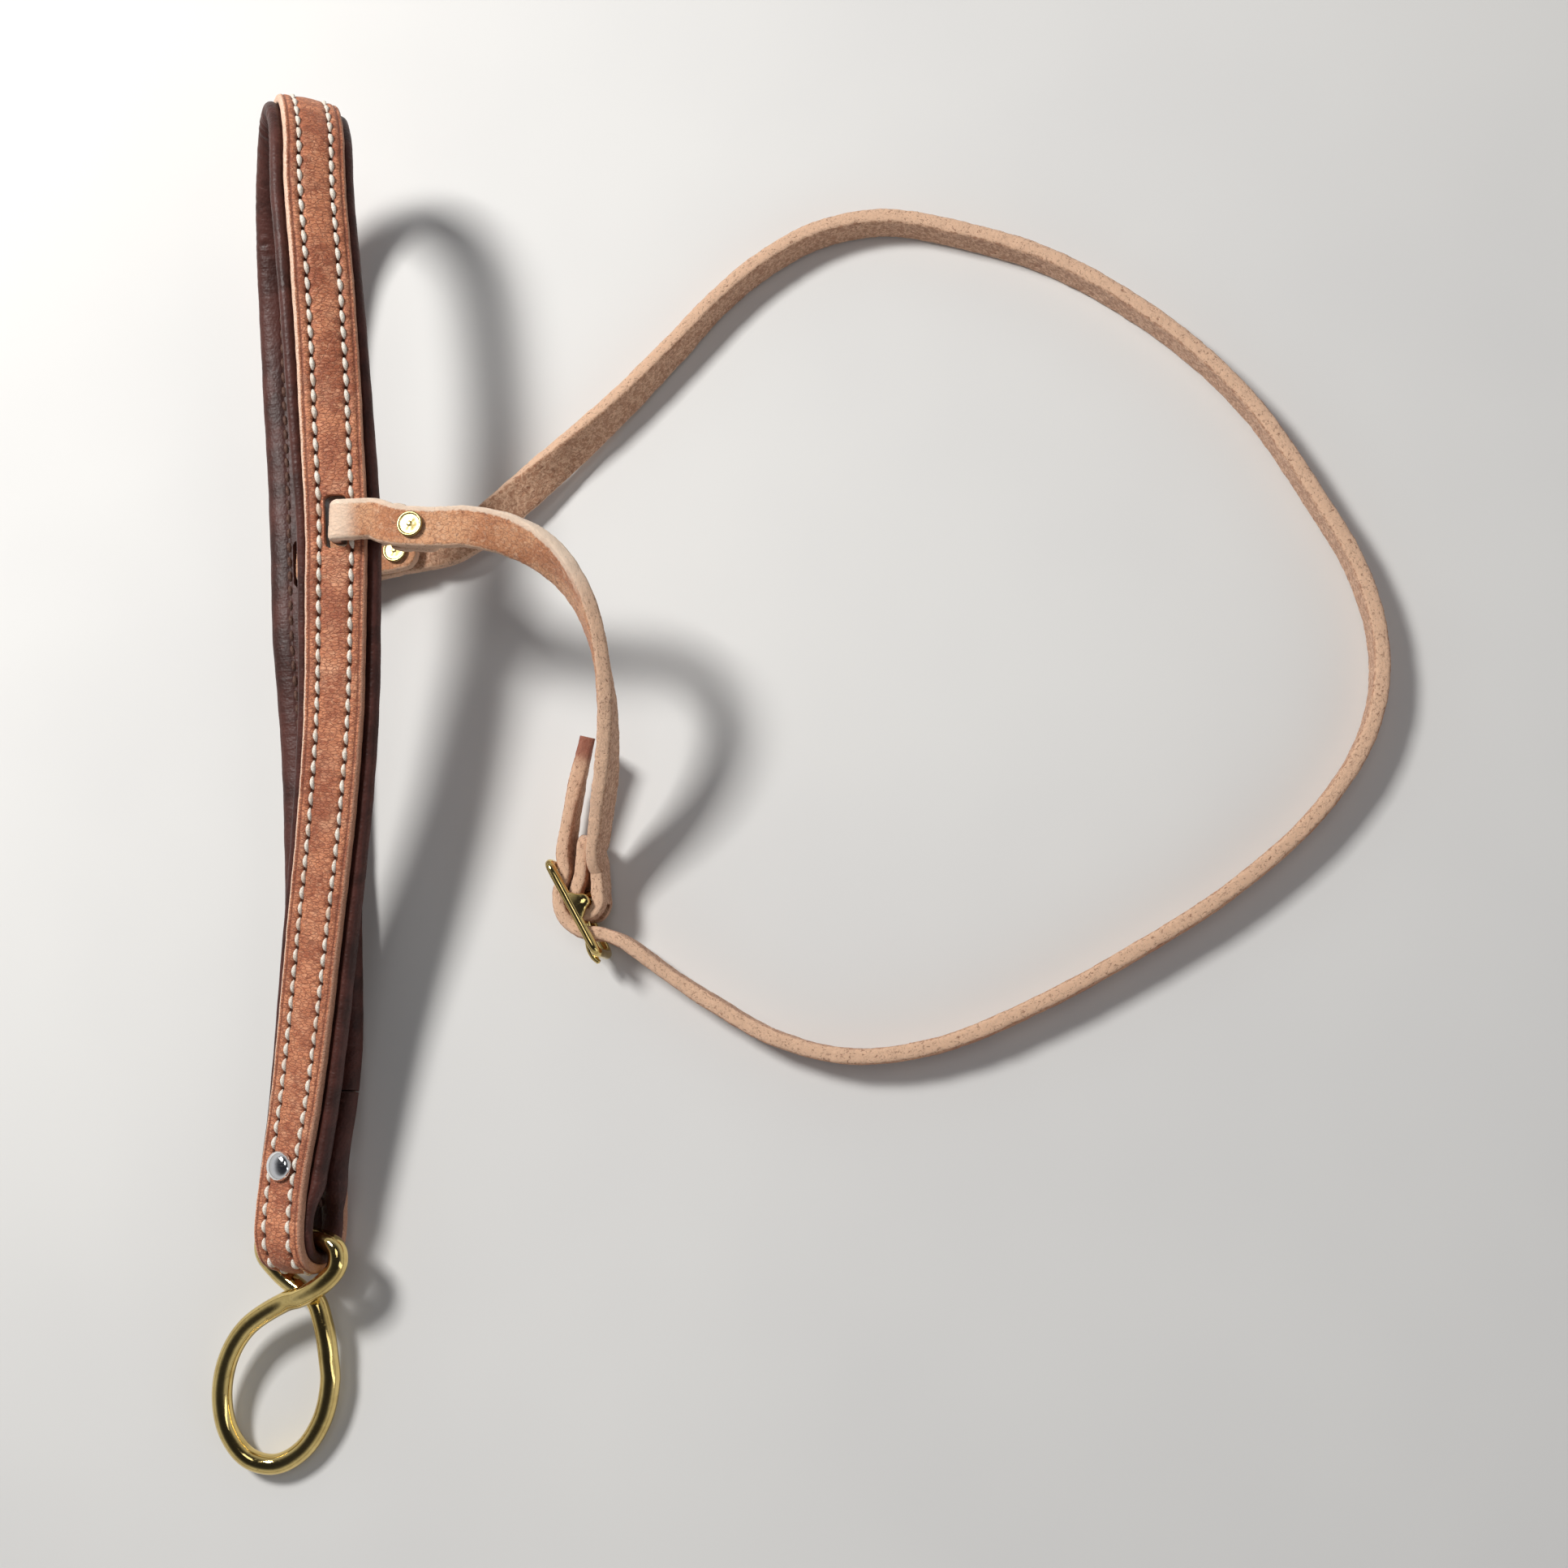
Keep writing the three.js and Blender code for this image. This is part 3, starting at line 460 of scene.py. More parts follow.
def cutThrough(piece, tool):  # takes the tool's shape out of the piece and keeps its surface places
    old = piece.data
    finder = KDTree(len(old.vertices))
    for i, vertex in enumerate(old.vertices):
        finder.insert(vertex.co, i)
    finder.balance()
    places = np.empty(len(old.vertices) * 3, np.float32)
    old.attributes["lay"].data.foreach_get("vector", places)
    places = places.reshape(-1, 3)
    pinch = np.zeros(len(old.vertices), np.float32)
    if "pinch" in old.attributes:
        old.attributes["pinch"].data.foreach_get("value", pinch)
    cutter = piece.modifiers.new("cut", "BOOLEAN")
    cutter.object, cutter.operation, cutter.solver = tool, "DIFFERENCE", "EXACT"
    bpy.context.view_layer.update()
    made = bpy.data.meshes.new_from_object(piece.evaluated_get(bpy.context.evaluated_depsgraph_get()))
    piece.modifiers.remove(cutter)
    for key in ("lay", "pinch"):
        if key in made.attributes:
            made.attributes.remove(made.attributes[key])
    near = [finder.find(vertex.co)[1] for vertex in made.vertices]
    made.attributes.new("lay", "FLOAT_VECTOR", "POINT").data.foreach_set("vector", places[near].ravel())
    made.attributes.new("pinch", "FLOAT", "POINT").data.foreach_set("value", pinch[near])
    made.name = old.name
    piece.data = made
    bpy.data.objects.remove(tool)
    return piece


def blockTool(middle, right, deep, long, sizes, corner=0.0):  # a cutter with rounded corners
    tool = bmesh.new()
    bmesh.ops.create_cube(tool, size=1)
    turn = Matrix((right, deep, long)).transposed().to_4x4()
    bmesh.ops.transform(tool, matrix=Matrix.Diagonal((*[s * mm for s in sizes], 1)), verts=tool.verts)
    if corner:
        upright = [e for e in tool.edges if abs((e.verts[0].co - e.verts[1].co).normalized().y) > 0.9]
        bmesh.ops.bevel(tool, geom=upright, offset=corner * mm, segments=4, affect="EDGES", profile=0.5)
    bmesh.ops.transform(tool, matrix=Matrix.Translation(middle) @ turn, verts=tool.verts)
    mesh = bpy.data.meshes.new("tool")
    tool.to_mesh(mesh)
    tool.free()
    made = bpy.data.objects.new("tool", mesh)
    scene.collection.objects.link(made)
    return made


def rod(name, points, radius, sides, closed, material, spacing):
    # radius: one number, or a function of the share of the length
    line = smoothLine(points, closed)
    if closed:
        line = np.vstack([line, line[:1]])
    reach = np.concatenate([[0], np.cumsum(np.linalg.norm(np.diff(line, axis=0), axis=1))])
    count = int(reach[-1] / spacing) + 1
    s = np.linspace(0, reach[-1], count + 1)
    line = np.stack([np.interp(s, reach, line[:, k]) for k in range(3)], 1)
    if closed:
        line = line[:-1]
        along = unit(np.roll(line, -1, 0) - np.roll(line, 1, 0))
    else:
        along = unit(np.gradient(line, axis=0))
    side = np.zeros_like(line)
    side[0] = unit(np.cross(along[0], (0.3, 0.2, 0.93)))
    for i in range(1, len(line)):
        side[i] = unit(side[i - 1] - along[i] * np.dot(side[i - 1], along[i]))
    if closed:  # share out the twist that is left when the rod meets itself
        last = unit(side[-1] - along[0] * np.dot(side[-1], along[0]))
        left = math.atan2(np.dot(np.cross(last, side[0]), along[0]), np.dot(last, side[0]))
        turn = left * np.arange(len(line)) / len(line)
        side = side * np.cos(turn)[:, None] + np.cross(along, side) * np.sin(turn)[:, None]
    other = np.cross(along, side)
    thick = np.array([radius(k) if callable(radius) else radius for k in np.linspace(0, 1, len(line))])
    angles = 2 * np.pi * np.arange(sides) / sides
    around = (side[:, None] * np.cos(angles)[None, :, None] + other[:, None] * np.sin(angles)[None, :, None])
    verts = ((line[:, None] + around * thick[:, None, None] + restShift) * mm).reshape(-1, 3)
    n, m = len(line), sides
    faces = []
    for i in range(n if closed else n - 1):
        a, b = i * m, ((i + 1) % n) * m
        faces += [(a + j, a + (j + 1) % m, b + (j + 1) % m, b + j) for j in range(m)]
    if not closed:
        for row, flip, tip in ((0, True, -1), (n - 1, False, 1)):
            hub = (line[row] + along[row] * tip * thick[row] * 0.45 + restShift) * mm
            verts = np.vstack([verts, hub])
            k = len(verts) - 1
            pairs = [(row * m + j, row * m + (j + 1) % m) for j in range(m)]
            faces += [(b, a, k) if flip else (a, b, k) for a, b in pairs]
    return meshObject(name, verts, faces, [material])


noseband = {"faceThick": 3.6, "liningThick": 6.5, "stitchSpread": 10, "foldNarrow": 0.82, "foldThin": 0.6,
            "foldReach": 9, "foldFade": 11, "ringLean": -20, "slotLength": 16.2, "slotWidth": 6.8,
            "slotPlay": 0.3, "slotCorner": 2.0, "barCentre": (-153.5, -144.5, 14.3),
            "nickelCentre": (-152.8, -122, 15), "trim": 0.3, "floorGap": 0.05}


def leaning(degrees):
    angle = math.radians(degrees)
    return np.array((math.cos(angle), 0, -math.sin(angle)))


ringAcross = leaning(noseband["ringLean"])
ringOut = np.cross((0, -1, 0), ringAcross)
barRun = 3.2 + 0.8 + noseband["liningThick"] * noseband["foldThin"]
nickelRun = noseband["liningThick"] + 0.3


def offBar(out, toEnd=0.0):
    return np.array(noseband["barCentre"]) + ringOut * out + np.array((0, -toEnd, 0))


def offNickel(out):
    return np.array(noseband["nickelCentre"]) + ringOut * out


half, lean = math.sqrt(0.5), noseband["ringLean"]
nosebandStations = [  # the seam between strap and lining, and the lean of the width
    ((-150.9, -100, 5.2), -9), ((-151.6, -84, 3.6), -2), ((-152.3, -70, 3.6), 0), ((-153.6, -45, 3.6), 0),
    ((-155.6, -12, 3.6), 0), ((-158, 22, 5.2), 0), ((-160.5, 52, 8.4), 0), ((-162, 77, 9.2), 0),
    ((-164, 104, 9.4), 2), ((-166.5, 134, 10.5), 8), ((-168, 165, 14), 16), ((-167, 192, 22), 23),
    ((-162, 210.5, 34.5), 28), ((-155, 219, 48), 31), ((-147.5, 215.5, 60), 33), ((-141.8, 202, 68), 34),
    ((-139, 181, 71), 34), ((-136, 155, 70.2), 32), ((-133.8, 125, 67), 27), ((-132.5, 101, 64), 20),
    ((-131.5, 76, 60), 12), ((-132.3, 56, 56), 7), ((-134.8, 17, 47.5), 1), ((-139.3, -17, 39.5), -4),
    ((-143.9, -45, 33), -8), ((-147.6, -70, 28), -11), ((-150.8, -94, 24.4), -15), ((-152.9, -108, 22.6), -18),
    (offNickel(nickelRun), lean), (offBar(barRun, -9), lean), (offBar(barRun), lean),
    (offBar(barRun * half, barRun * half), lean), (offBar(0, barRun), lean),
    (offBar(-barRun * half, barRun * half), lean), (offBar(-barRun), lean), (offBar(-barRun, -9), lean),
    (offNickel(-nickelRun), lean)]
nosebandPoints = [p for p, _ in nosebandStations]
nosebandWidths = [leaning(d) for _, d in nosebandStations]
nosebandLine = Lay(nosebandPoints, nosebandWidths, True, 0.7,
                   noseband["faceThick"] + noseband["floorGap"], noseband["trim"])


def stationFrame(index):  # the strap's directions at one of its written points
    line = smoothLine(nosebandPoints, True)
    wide = smoothLine(nosebandWidths, True, 0)
    i = index * stepsEach
    along = unit(line[i + 1] - line[i - 1])
    across = unit(wide[i] - along * np.dot(wide[i], along))
    return line[i], across, np.cross(along, across), along


farSlot, nearSlot = stationFrame(7), stationFrame(20)

stitching = {"pitch": 5.0, "threadWidth": 1.6, "length": 0.76, "holeWidth": 1.3, "slant": 7.0,
             "unevenness": 0.4, "seed": 4, "holeDepth": 0.9, "faceLevel": 3.06, "liningLevel": -5.78,
             "barClear": 13}
holeCount = int(nosebandLine.length / stitching["pitch"])
holePitch = nosebandLine.length / holeCount


def pinched(x, s, y):  # 1 in an awl hole of either row, on the strap's face
    row = np.abs(np.abs(x) - noseband["stitchSpread"] / 2)
    nearest = (s / holePitch) - np.round(s / holePitch)
    return np.exp(-((row / 0.75) ** 2) - ((nearest * holePitch / 0.85) ** 2)) * (y > 1.5)


def faceShape(x, y, s):
    sideways = 0.10 * waves(s, (37, 17, 9), 3) * np.sign(x) * (np.abs(x) > 7)
    lift = 0.07 * waves(s + x * 2.0, (13, 29, 7), 5) * (y > 1.5)
    pull = -stitching["holeDepth"] * pinched(x, s, y)
    fromRow = np.abs(np.abs(x) - noseband["stitchSpread"] / 2)
    dent = np.cos(2 * np.pi * s / holePitch) * 0.10 * np.exp(-((fromRow / 1.6) ** 2)) * (y > 1.5)
    return x + sideways, y + lift + pull - dent, s


faceSection = roundedLoop([(0, 0.2), (4, 0.2), (8.5, 0.2), (9.25, 0.4), (9.5, 1.0), (9.52, 2.3), (9.4, 2.75),
                           (9.05, 3.06), (8.62, 3.2), (8.3, 3.2), (8.1, 3.08), (7.95, 2.98), (7.8, 3.1),
                           (7.5, 3.3), (6.9, 3.42), (6.2, 3.38), (5.7, 3.18), (5.3, 2.93), (5.0, 2.84),
                           (4.7, 2.93), (4.3, 3.2), (3.7, 3.46), (2.6, 3.6), (1.3, 3.67), (0, 3.69)], 0.4)
nosebandFace = bentStrap("noseband_face", nosebandLine, faceSection, harness, faceShape, ("pinch", pinched))


def openedOut(away):  # 0 in the fold round the ring's bar, 1 where the lining has its full size
    share = np.clip((away - noseband["foldReach"]) / noseband["foldFade"], 0, 1)
    return share * share * (3 - 2 * share)


def liningSize(share):  # factors on the lining's width and depth
    return [noseband[key] + (1 - noseband[key]) * share for key in ("foldNarrow", "foldThin")]


def liningShape(x, y, s):
    line = nosebandLine
    tight = np.interp(s, line.s, line.bendIn)
    away = np.hypot(*(np.interp(s, line.s, line.at[:, k]) - noseband["barCentre"][k] for k in (1, 2)))
    share = openedOut(away)
    inner = np.clip(-(y + 0.6) / 5, 0, 1)
    squeeze = np.clip(tight / 0.04, 0, 1) * share
    ribs = waves(s + 0.35 * x + 1.2 * waves(x * 3 + s, (19, 31), 8), (3.1, 4.3, 2.6), 6)
    soft = waves(s + x, (21, 34, 12), 7)
    roll = 0.12 * soft + 0.55 * squeeze * inner * np.clip(ribs, -1, 0.5)
    wide, deep = liningSize(share)
    y = np.where(y < 0, y * deep, y)
    normalX, normalY = np.sign(x) * np.clip(np.abs(x) - 10, 0, 3) / 3, -inner
    return (x + normalX * roll * 0.8) * wide, y + normalY * roll, s


liningSection = roundedLoop([(0, -5.95), (2.5, -6.0), (4.2, -5.95), (4.75, -5.75), (5.0, -5.66),
                             (5.25, -5.75), (5.9, -6.02), (7.5, -6.15), (9.6, -5.95), (11.2, -5.35),
                             (12.4, -4.3), (13.0, -3.0), (13.05, -1.8), (12.75, -0.7), (12.1, 0.05),
                             (11.2, 0.38), (10.3, 0.25), (9.7, -0.1), (8.8, -0.25), (5, -0.25), (0, -0.25)], 0.55)
nosebandLining = bentStrap("noseband_padded_lining", nosebandLine, liningSection, lining, liningShape)

for at, across, out, along in (nearSlot, farSlot):
    for piece in (nosebandFace, nosebandLining):
        tool = blockTool(Vector(toFrame(at)), Vector(across), Vector(out), Vector(along),
                         (noseband["slotWidth"] + noseband["slotPlay"], 30,
                          noseband["slotLength"] + noseband["slotPlay"]), noseband["slotCorner"])
        cutThrough(piece, tool)
print("noseband cut and bent")


def stitchTree(name):
    tree = bpy.data.node_groups.new(name, "GeometryNodeTree")
    tree.is_modifier = True
    sockets = {}
    for label, kind, value in (("Geometry", "Geometry", None), ("Stitch Length", "Float", 3.9 * mm),
                               ("Thread Width", "Float", 1.1 * mm), ("Slant", "Float", 0.12),
                               ("Unevenness", "Float", 0.3), ("Seed", "Int", 1),
                               ("Hole Width", "Float", 0.9 * mm)):
        made = tree.interface.new_socket(label, in_out="INPUT", socket_type="NodeSocket" + kind)
        if value is not None:
            made.default_value = value
        sockets[label] = made.identifier
    tree.interface.new_socket("Geometry", in_out="OUTPUT", socket_type="NodeSocketGeometry")
    start, end = tree.nodes.new("NodeGroupInput"), tree.nodes.new("NodeGroupOutput")
    length, wide = start.outputs["Stitch Length"], start.outputs["Thread Width"]
    halfLength = times(tree, length, 0.5)
    left = vector(tree, {"X": times(tree, halfLength, -1.0)})
    right = vector(tree, {"X": halfLength})
    spine = addNode(tree, "GeometryNodeCurvePrimitiveLine", {"Start": left, "End": right}).outputs[0]
    spine = addNode(tree, "GeometryNodeResampleCurve", {"Curve": spine, "Count": 7}).outputs[0]
    share = addNode(tree, "GeometryNodeSplineParameter").outputs["Factor"]
    hump = sums(tree, "SINE", times(tree, share, math.pi))
    lift = times(tree, sums(tree, "SUBTRACT", hump, 0.72), times(tree, wide, 0.62))
    arch = {"Geometry": spine, "Offset": vector(tree, {"Z": lift})}
    spine = addNode(tree, "GeometryNodeSetPosition", arch).outputs[0]
    plump = plus(tree, 0.42, times(tree, sums(tree, "POWER", hump, 0.6), 0.58))
    ring = addNode(tree, "GeometryNodeCurvePrimitiveCircle",
                   {"Resolution": 6, "Radius": times(tree, wide, 0.5)}).outputs[0]
    body = addNode(tree, "GeometryNodeCurveToMesh",
                   {"Curve": spine, "Profile Curve": ring, "Fill Caps": True, "Scale": plump}).outputs[0]
    body = addNode(tree, "GeometryNodeSetMaterial", {"Geometry": body, "Material": thread}).outputs[0]
    # A dark disc of painted shade sits in the awl hole at the end of each stitch.
    pitRadius = times(tree, start.outputs["Hole Width"], 0.5)
    pit = addNode(tree, "GeometryNodeMeshCircle", {"Vertices": 8, "Radius": pitRadius},
                  fill_type="NGON").outputs[0]
    place = vector(tree, {"X": times(tree, halfLength, 1.28), "Z": times(tree, wide, -0.42)})
    pit = addNode(tree, "GeometryNodeTransform", {"Geometry": pit, "Translation": place,
                                                  "Scale": (1.25, 0.85, 1.0)}).outputs[0]
    pit = addNode(tree, "GeometryNodeSetMaterial", {"Geometry": pit, "Material": awlHoleShade}).outputs[0]
    both = addNode(tree, "GeometryNodeJoinGeometry")
    tree.links.new(body, both.inputs[0])
    tree.links.new(pit, both.inputs[0])
    along, out = [addNode(tree, "GeometryNodeInputNamedAttribute", {"Name": name},
                          data_type="FLOAT_VECTOR").outputs[0] for name in ("along", "out")]
    facing = addNode(tree, "FunctionNodeAxesToRotation", {"Primary Axis": out, "Secondary Axis": along},
                     primary_axis="Z", secondary_axis="X").outputs[0]
    spread = {"Points": start.outputs["Geometry"], "Instance": both.outputs[0], "Rotation": facing}
    placed = addNode(tree, "GeometryNodeInstanceOnPoints", spread).outputs[0]
    stray = addNode(tree, "FunctionNodeRandomValue", {"Seed": start.outputs["Seed"]}, data_type="FLOAT")
    stray.inputs[2].default_value, stray.inputs[3].default_value = -0.16, 0.16
    drift = times(tree, stray.outputs[1], start.outputs["Unevenness"])
    yaw = vector(tree, {"Z": plus(tree, start.outputs["Slant"], drift)})
    placed = addNode(tree, "GeometryNodeRotateInstances", {"Instances": placed, "Rotation": yaw}).outputs[0]
    size = addNode(tree, "FunctionNodeRandomValue", {"Seed": plus(tree, start.outputs["Seed"], 11.0)},
                   data_type="FLOAT")
    size.inputs[2].default_value, size.inputs[3].default_value = 0.92, 1.07
    even = vector(tree, {"X": 1.0, "Y": size.outputs[1], "Z": size.outputs[1]})
    placed = addNode(tree, "GeometryNodeScaleInstances", {"Instances": placed, "Scale": even}).outputs[0]
    whole = addNode(tree, "GeometryNodeRealizeInstances", {"Geometry": placed}).outputs[0]
    whole = addNode(tree, "GeometryNodeSetShadeSmooth", {"Geometry": whole}).outputs[0]
    sewn = addNode(tree, "GeometryNodeMaterialSelection", {"Material": thread}).outputs[0]
    behind = addNode(tree, "GeometryNodeInputNamedAttribute", {"Name": "behind"},
                     data_type="BOOLEAN").outputs[0]
    chosen = addNode(tree, "FunctionNodeBooleanMath", {0: sewn, 1: behind}, operation="AND").outputs[0]
    whole = addNode(tree, "GeometryNodeSetMaterial",
                    {"Geometry": whole, "Selection": chosen, "Material": threadBehind}).outputs[0]
    tree.links.new(whole, end.inputs[0])
    return tree, sockets


def stitchRow(name, side, seed):
    spots, alongs, outs, behind = [], [], [], []
    for face in (1, -1):  # on the strap's face, and through on the lining
        for i in range(holeCount):
            s = (i + 0.5) * holePitch
            wide, level = 1, stitching["faceLevel"]
            if face < 0:
                away = math.hypot(*(nosebandLine.spot(s)[0][1:] - np.array(noseband["barCentre"])[1:]))
                if away < stitching["barClear"]:  # the ring's bar lies here
                    continue
                wide, deep = liningSize(openedOut(away))
                level = stitching["liningLevel"] * deep
            at, along, out = nosebandLine.spot(s, side * noseband["stitchSpread"] / 2 * wide, level)
            spots.append(toFrame(at))
            alongs.append(along)
            outs.append(out * face)
            behind.append(face < 0)
    row = meshObject(name, spots, [], [thread, awlHoleShade, threadBehind],
                     [("along", "FLOAT_VECTOR", alongs), ("out", "FLOAT_VECTOR", outs),
                      ("behind", "BOOLEAN", behind)])
    tree, sockets = stitchTree(name + "_rule")
    rule = row.modifiers.new("stitches", "NODES")
    rule.node_group = tree
    rule[sockets["Stitch Length"]] = holePitch * stitching["length"] * mm
    rule[sockets["Thread Width"]] = stitching["threadWidth"] * mm
    rule[sockets["Slant"]] = math.radians(stitching["slant"])
    rule[sockets["Unevenness"]] = stitching["unevenness"]
    rule[sockets["Seed"]] = seed
    rule[sockets["Hole Width"]] = stitching["holeWidth"] * mm
    bpy.context.view_layer.update()
    made = bpy.data.meshes.new_from_object(row.evaluated_get(bpy.context.evaluated_depsgraph_get()))
    row.modifiers.remove(rule)
    made.name = name
    row.data = made
    return row


stitchesOuter = stitchRow("stitches_outer", -1, stitching["seed"])
stitchesInner = stitchRow("stitches_inner", 1, stitching["seed"] + 1)
print("stitches sewn", len(stitchesOuter.data.polygons))


ring = {"wire": 6.4, "bore": 43.2, "narrow": 0.655, "eyeInside": 25.2, "centre": -7.5, "twist": 20, "slant": 10,
        "drop": 8, "turn": 2}


def ringPoints():
    wire = ring["wire"] / 2
    long, wide = ring["bore"] / 2 + wire, ring["bore"] * ring["narrow"] / 2 + wire
    halfEye = ring["eyeInside"] / 2 + wire
    reach = (barRun + noseband["faceThick"]) * 1.3 + ring["eyeInside"] * 0.1774
    over = -wire - 0.15
    twist, slant = math.radians(ring["twist"]), math.radians(ring["slant"])

    def strand(side):
        rows = [(0.6, 0, 0), (0.94, 0.12, 0), (1, 0.38, 0.2), (0.72, 0.676, 0.7), (0.22, 0.93, 1),
                (-0.2, 1.06, 1.05)]
        return [(side * u * halfEye, v * reach, side * over * k) for u, v, k in rows]

    large = []
    for i, degrees in enumerate((-46, -75, -105, -135, -165, -195, -225, -255, -283, -300)):
        u, v = wide * math.sin(math.radians(degrees)), -long * math.cos(math.radians(degrees))
        n = over * 0.4 * math.cos(math.pi * i / 9)
        across = ring["centre"] + u * math.cos(slant) - v * math.sin(slant)
        large.append((across * math.cos(twist) - n * math.sin(twist),
                      reach + 4.2 + long + v * math.cos(slant) + u * math.sin(slant),
                      across * math.sin(twist) + n * math.cos(twist)))
    return [(0, 0, 0), *strand(1), *large, (halfEye * 0.43, reach * 1.45, -over * 1.1), *reversed(strand(-1))]


def unitOf(*v):
    v = np.array(v, float)
    return v / np.linalg.norm(v)


reachway = unitOf(-math.sin(math.radians(ring["turn"])), -math.cos(math.radians(ring["turn"])),
                  -math.sin(math.radians(ring["drop"])))
barWay = unitOf(*(ringAcross - reachway * np.dot(ringAcross, reachway)))
overWay = np.cross(barWay, reachway)
ringLine = [np.array(noseband["barCentre"]) + barWay * u + reachway * v + overWay * n
            for u, v, n in ringPoints()]
tieDownRing = rod("ring_of_round_rod", ringLine, ring["wire"] / 2, 28, True, brass, 0.6)
print("ring bent")


screws = {"nickelHead": 9.5, "nickelDome": 2.2, "brassHead": 8, "brassDome": 0.5, "barrel": 5, "shank": 3.4,
          "headThick": 1.3, "sides": 48, "petals": 6, "petalBand": (0.75, 2.6), "petalHeight": 0.025}


def turnedPiece(name, profile, base, axis, material, petalsFrom=None):
    # profile: radius and height pairs from the axis out and back to it; petals are pressed in above petalsFrom
    axis = np.asarray(axis, float)
    sideways = unitOf(*np.cross((0.1, 1, 0.2), axis))
    other = np.cross(axis, sideways)
    verts, faces, m = [], [], screws["sides"]
    inner, outer = screws["petalBand"]
    for r, z in profile[1:-1]:
        for j in range(m):
            angle = 2 * math.pi * j / m
            lift = 0.0
            if petalsFrom is not None and inner < r < outer and z > petalsFrom:
                share = math.sin(math.pi * (r - inner) / (outer - inner))
                lift = screws["petalHeight"] * share * math.cos(screws["petals"] * angle)
            verts.append(base + sideways * r * math.cos(angle) + other * r * math.sin(angle) + axis * (z + lift))
    rings = len(profile) - 2
    for i in range(rings - 1):
        for j in range(m):
            faces.append((i * m + j, i * m + (j + 1) % m, (i + 1) * m + (j + 1) % m, (i + 1) * m + j))
    first, last = len(verts), len(verts) + 1
    verts += [base + axis * profile[0][1], base + axis * profile[-1][1]]
    for j in range(m):
        faces.append((first, (j + 1) % m, j))
        faces.append((last, (rings - 1) * m + j, (rings - 1) * m + (j + 1) % m))
    made = meshObject(name, [toFrame(v) for v in verts], faces, [material])
    whole = bmesh.new()
    whole.from_mesh(made.data)
    bmesh.ops.recalc_face_normals(whole, faces=whole.faces)
    whole.to_mesh(made.data)
    whole.free()
    return made


def domeRows(radius, height, rise, count=12):  # from the rim up to the middle
    rows = []
    for i in range(count):
        angle = math.pi / 2 * i / count
        rows.append((radius * math.cos(angle), height + rise * math.sin(angle)))
    return rows


def screwPair(label, centre, axis, grip, head, dome, material, flat):
    radius, barrel, shank, thick = head / 2, screws["barrel"] / 2, screws["shank"] / 2, screws["headThick"]
    base = np.asarray(centre, float) - np.asarray(axis, float) * grip / 2
    top = [(radius - 0.18, grip), (radius, grip + 0.18), (radius, grip + thick / 2 - 0.15)]
    if flat:
        high = grip + thick / 2 + dome
        top += [(radius - 0.05, high - 0.25), (radius - 0.2, high - 0.1), (radius - 0.45, high - 0.07),
                (radius - 0.7, high - 0.1), (radius - 0.85, high - 0.19), (radius - 1.05, high - 0.22),
                (2.3, high - 0.2), (1.9, high - 0.17), (1.5, high - 0.14), (1.1, high - 0.12), (0.75, high - 0.1),
                (0.6, high - 0.04), (0.3, high), (0, high)]
        petalsFrom = grip + 0.5
    else:
        top += domeRows(radius - 0.08, grip + thick / 2, dome) + [(0, grip + thick / 2 + dome)]
        petalsFrom = None
    screw = turnedPiece(label + "_screw_turned", [(0, 2 * thick), (shank, 2 * thick), (shank, grip), *top],
                        base, axis, material, petalsFrom)
    under = [(r, -z) for r, z in domeRows(radius - 0.08, thick / 2, dome)]
    post = turnedPiece(label + "_post_turned",
                       [(0, -thick / 2 - dome), *reversed(under), (radius, -thick / 2 + 0.1), (radius, -0.18),
                        (radius - 0.18, 0), (barrel, 0), (barrel, grip - 0.3), (shank + 0.3, grip - 0.3),
                        (shank + 0.3, thick), (0, thick)], base, axis, material)
    return post, screw


layerSpace = 4.5
cheekScrewAt, crownScrewAt = np.array((-105, 72, 62.5)), np.array((-130.5, 80.5, 8.6))
nickelPost, nickelScrew = screwPair("noseband", noseband["nickelCentre"], ringOut,
                                    2 * (nickelRun + noseband["faceThick"]) + 1.5, screws["nickelHead"],
                                    screws["nickelDome"], nickel, False)
(cheekPost, cheekScrew), (crownPost, crownScrew) = [
    screwPair(label, place, (0, 0, 1), 2 * layerSpace + 0.9, screws["brassHead"], screws["brassDome"], headBrass,
              True)
    for label, place in (("cheek", cheekScrewAt), ("crown", crownScrewAt))]
print("screws turned")


hanger = {"width": 12.7, "buckleCentre": (-65.5, -41, 10.05), "barSetback": 4.0, "foldRadius": 3.7,
          "outerRadius": 8.5, "nap": 0.045, "swell": 0.16, "stainLength": 9,
          "foldWindow": (12.6, 4.0, 13.6), "tongueHole": (9.6, 4.0, 14)}
onTop, underneath, besideRoll = 6.5, -9.4, 13.1
buckleS = unitOf(0.493, -0.87, 0)
buckleB = np.array((-buckleS[1], buckleS[0], 0))
upright = np.array((0, 0, 1.0))


def inSlot(slot, w, n):
    return slot[0] + slot[1] * w + slot[2] * n


def inBuckle(s, b, rise=0.0):
    return np.array(hanger["buckleCentre"]) + buckleS * s + buckleB * b + upright * rise


def bar(s, b):
    return inBuckle(s * hanger["foldRadius"], hanger["barSetback"] + b * hanger["foldRadius"])


def aroundFold(s, b):
    return inBuckle(s * hanger["outerRadius"], hanger["barSetback"] + b * hanger["outerRadius"])


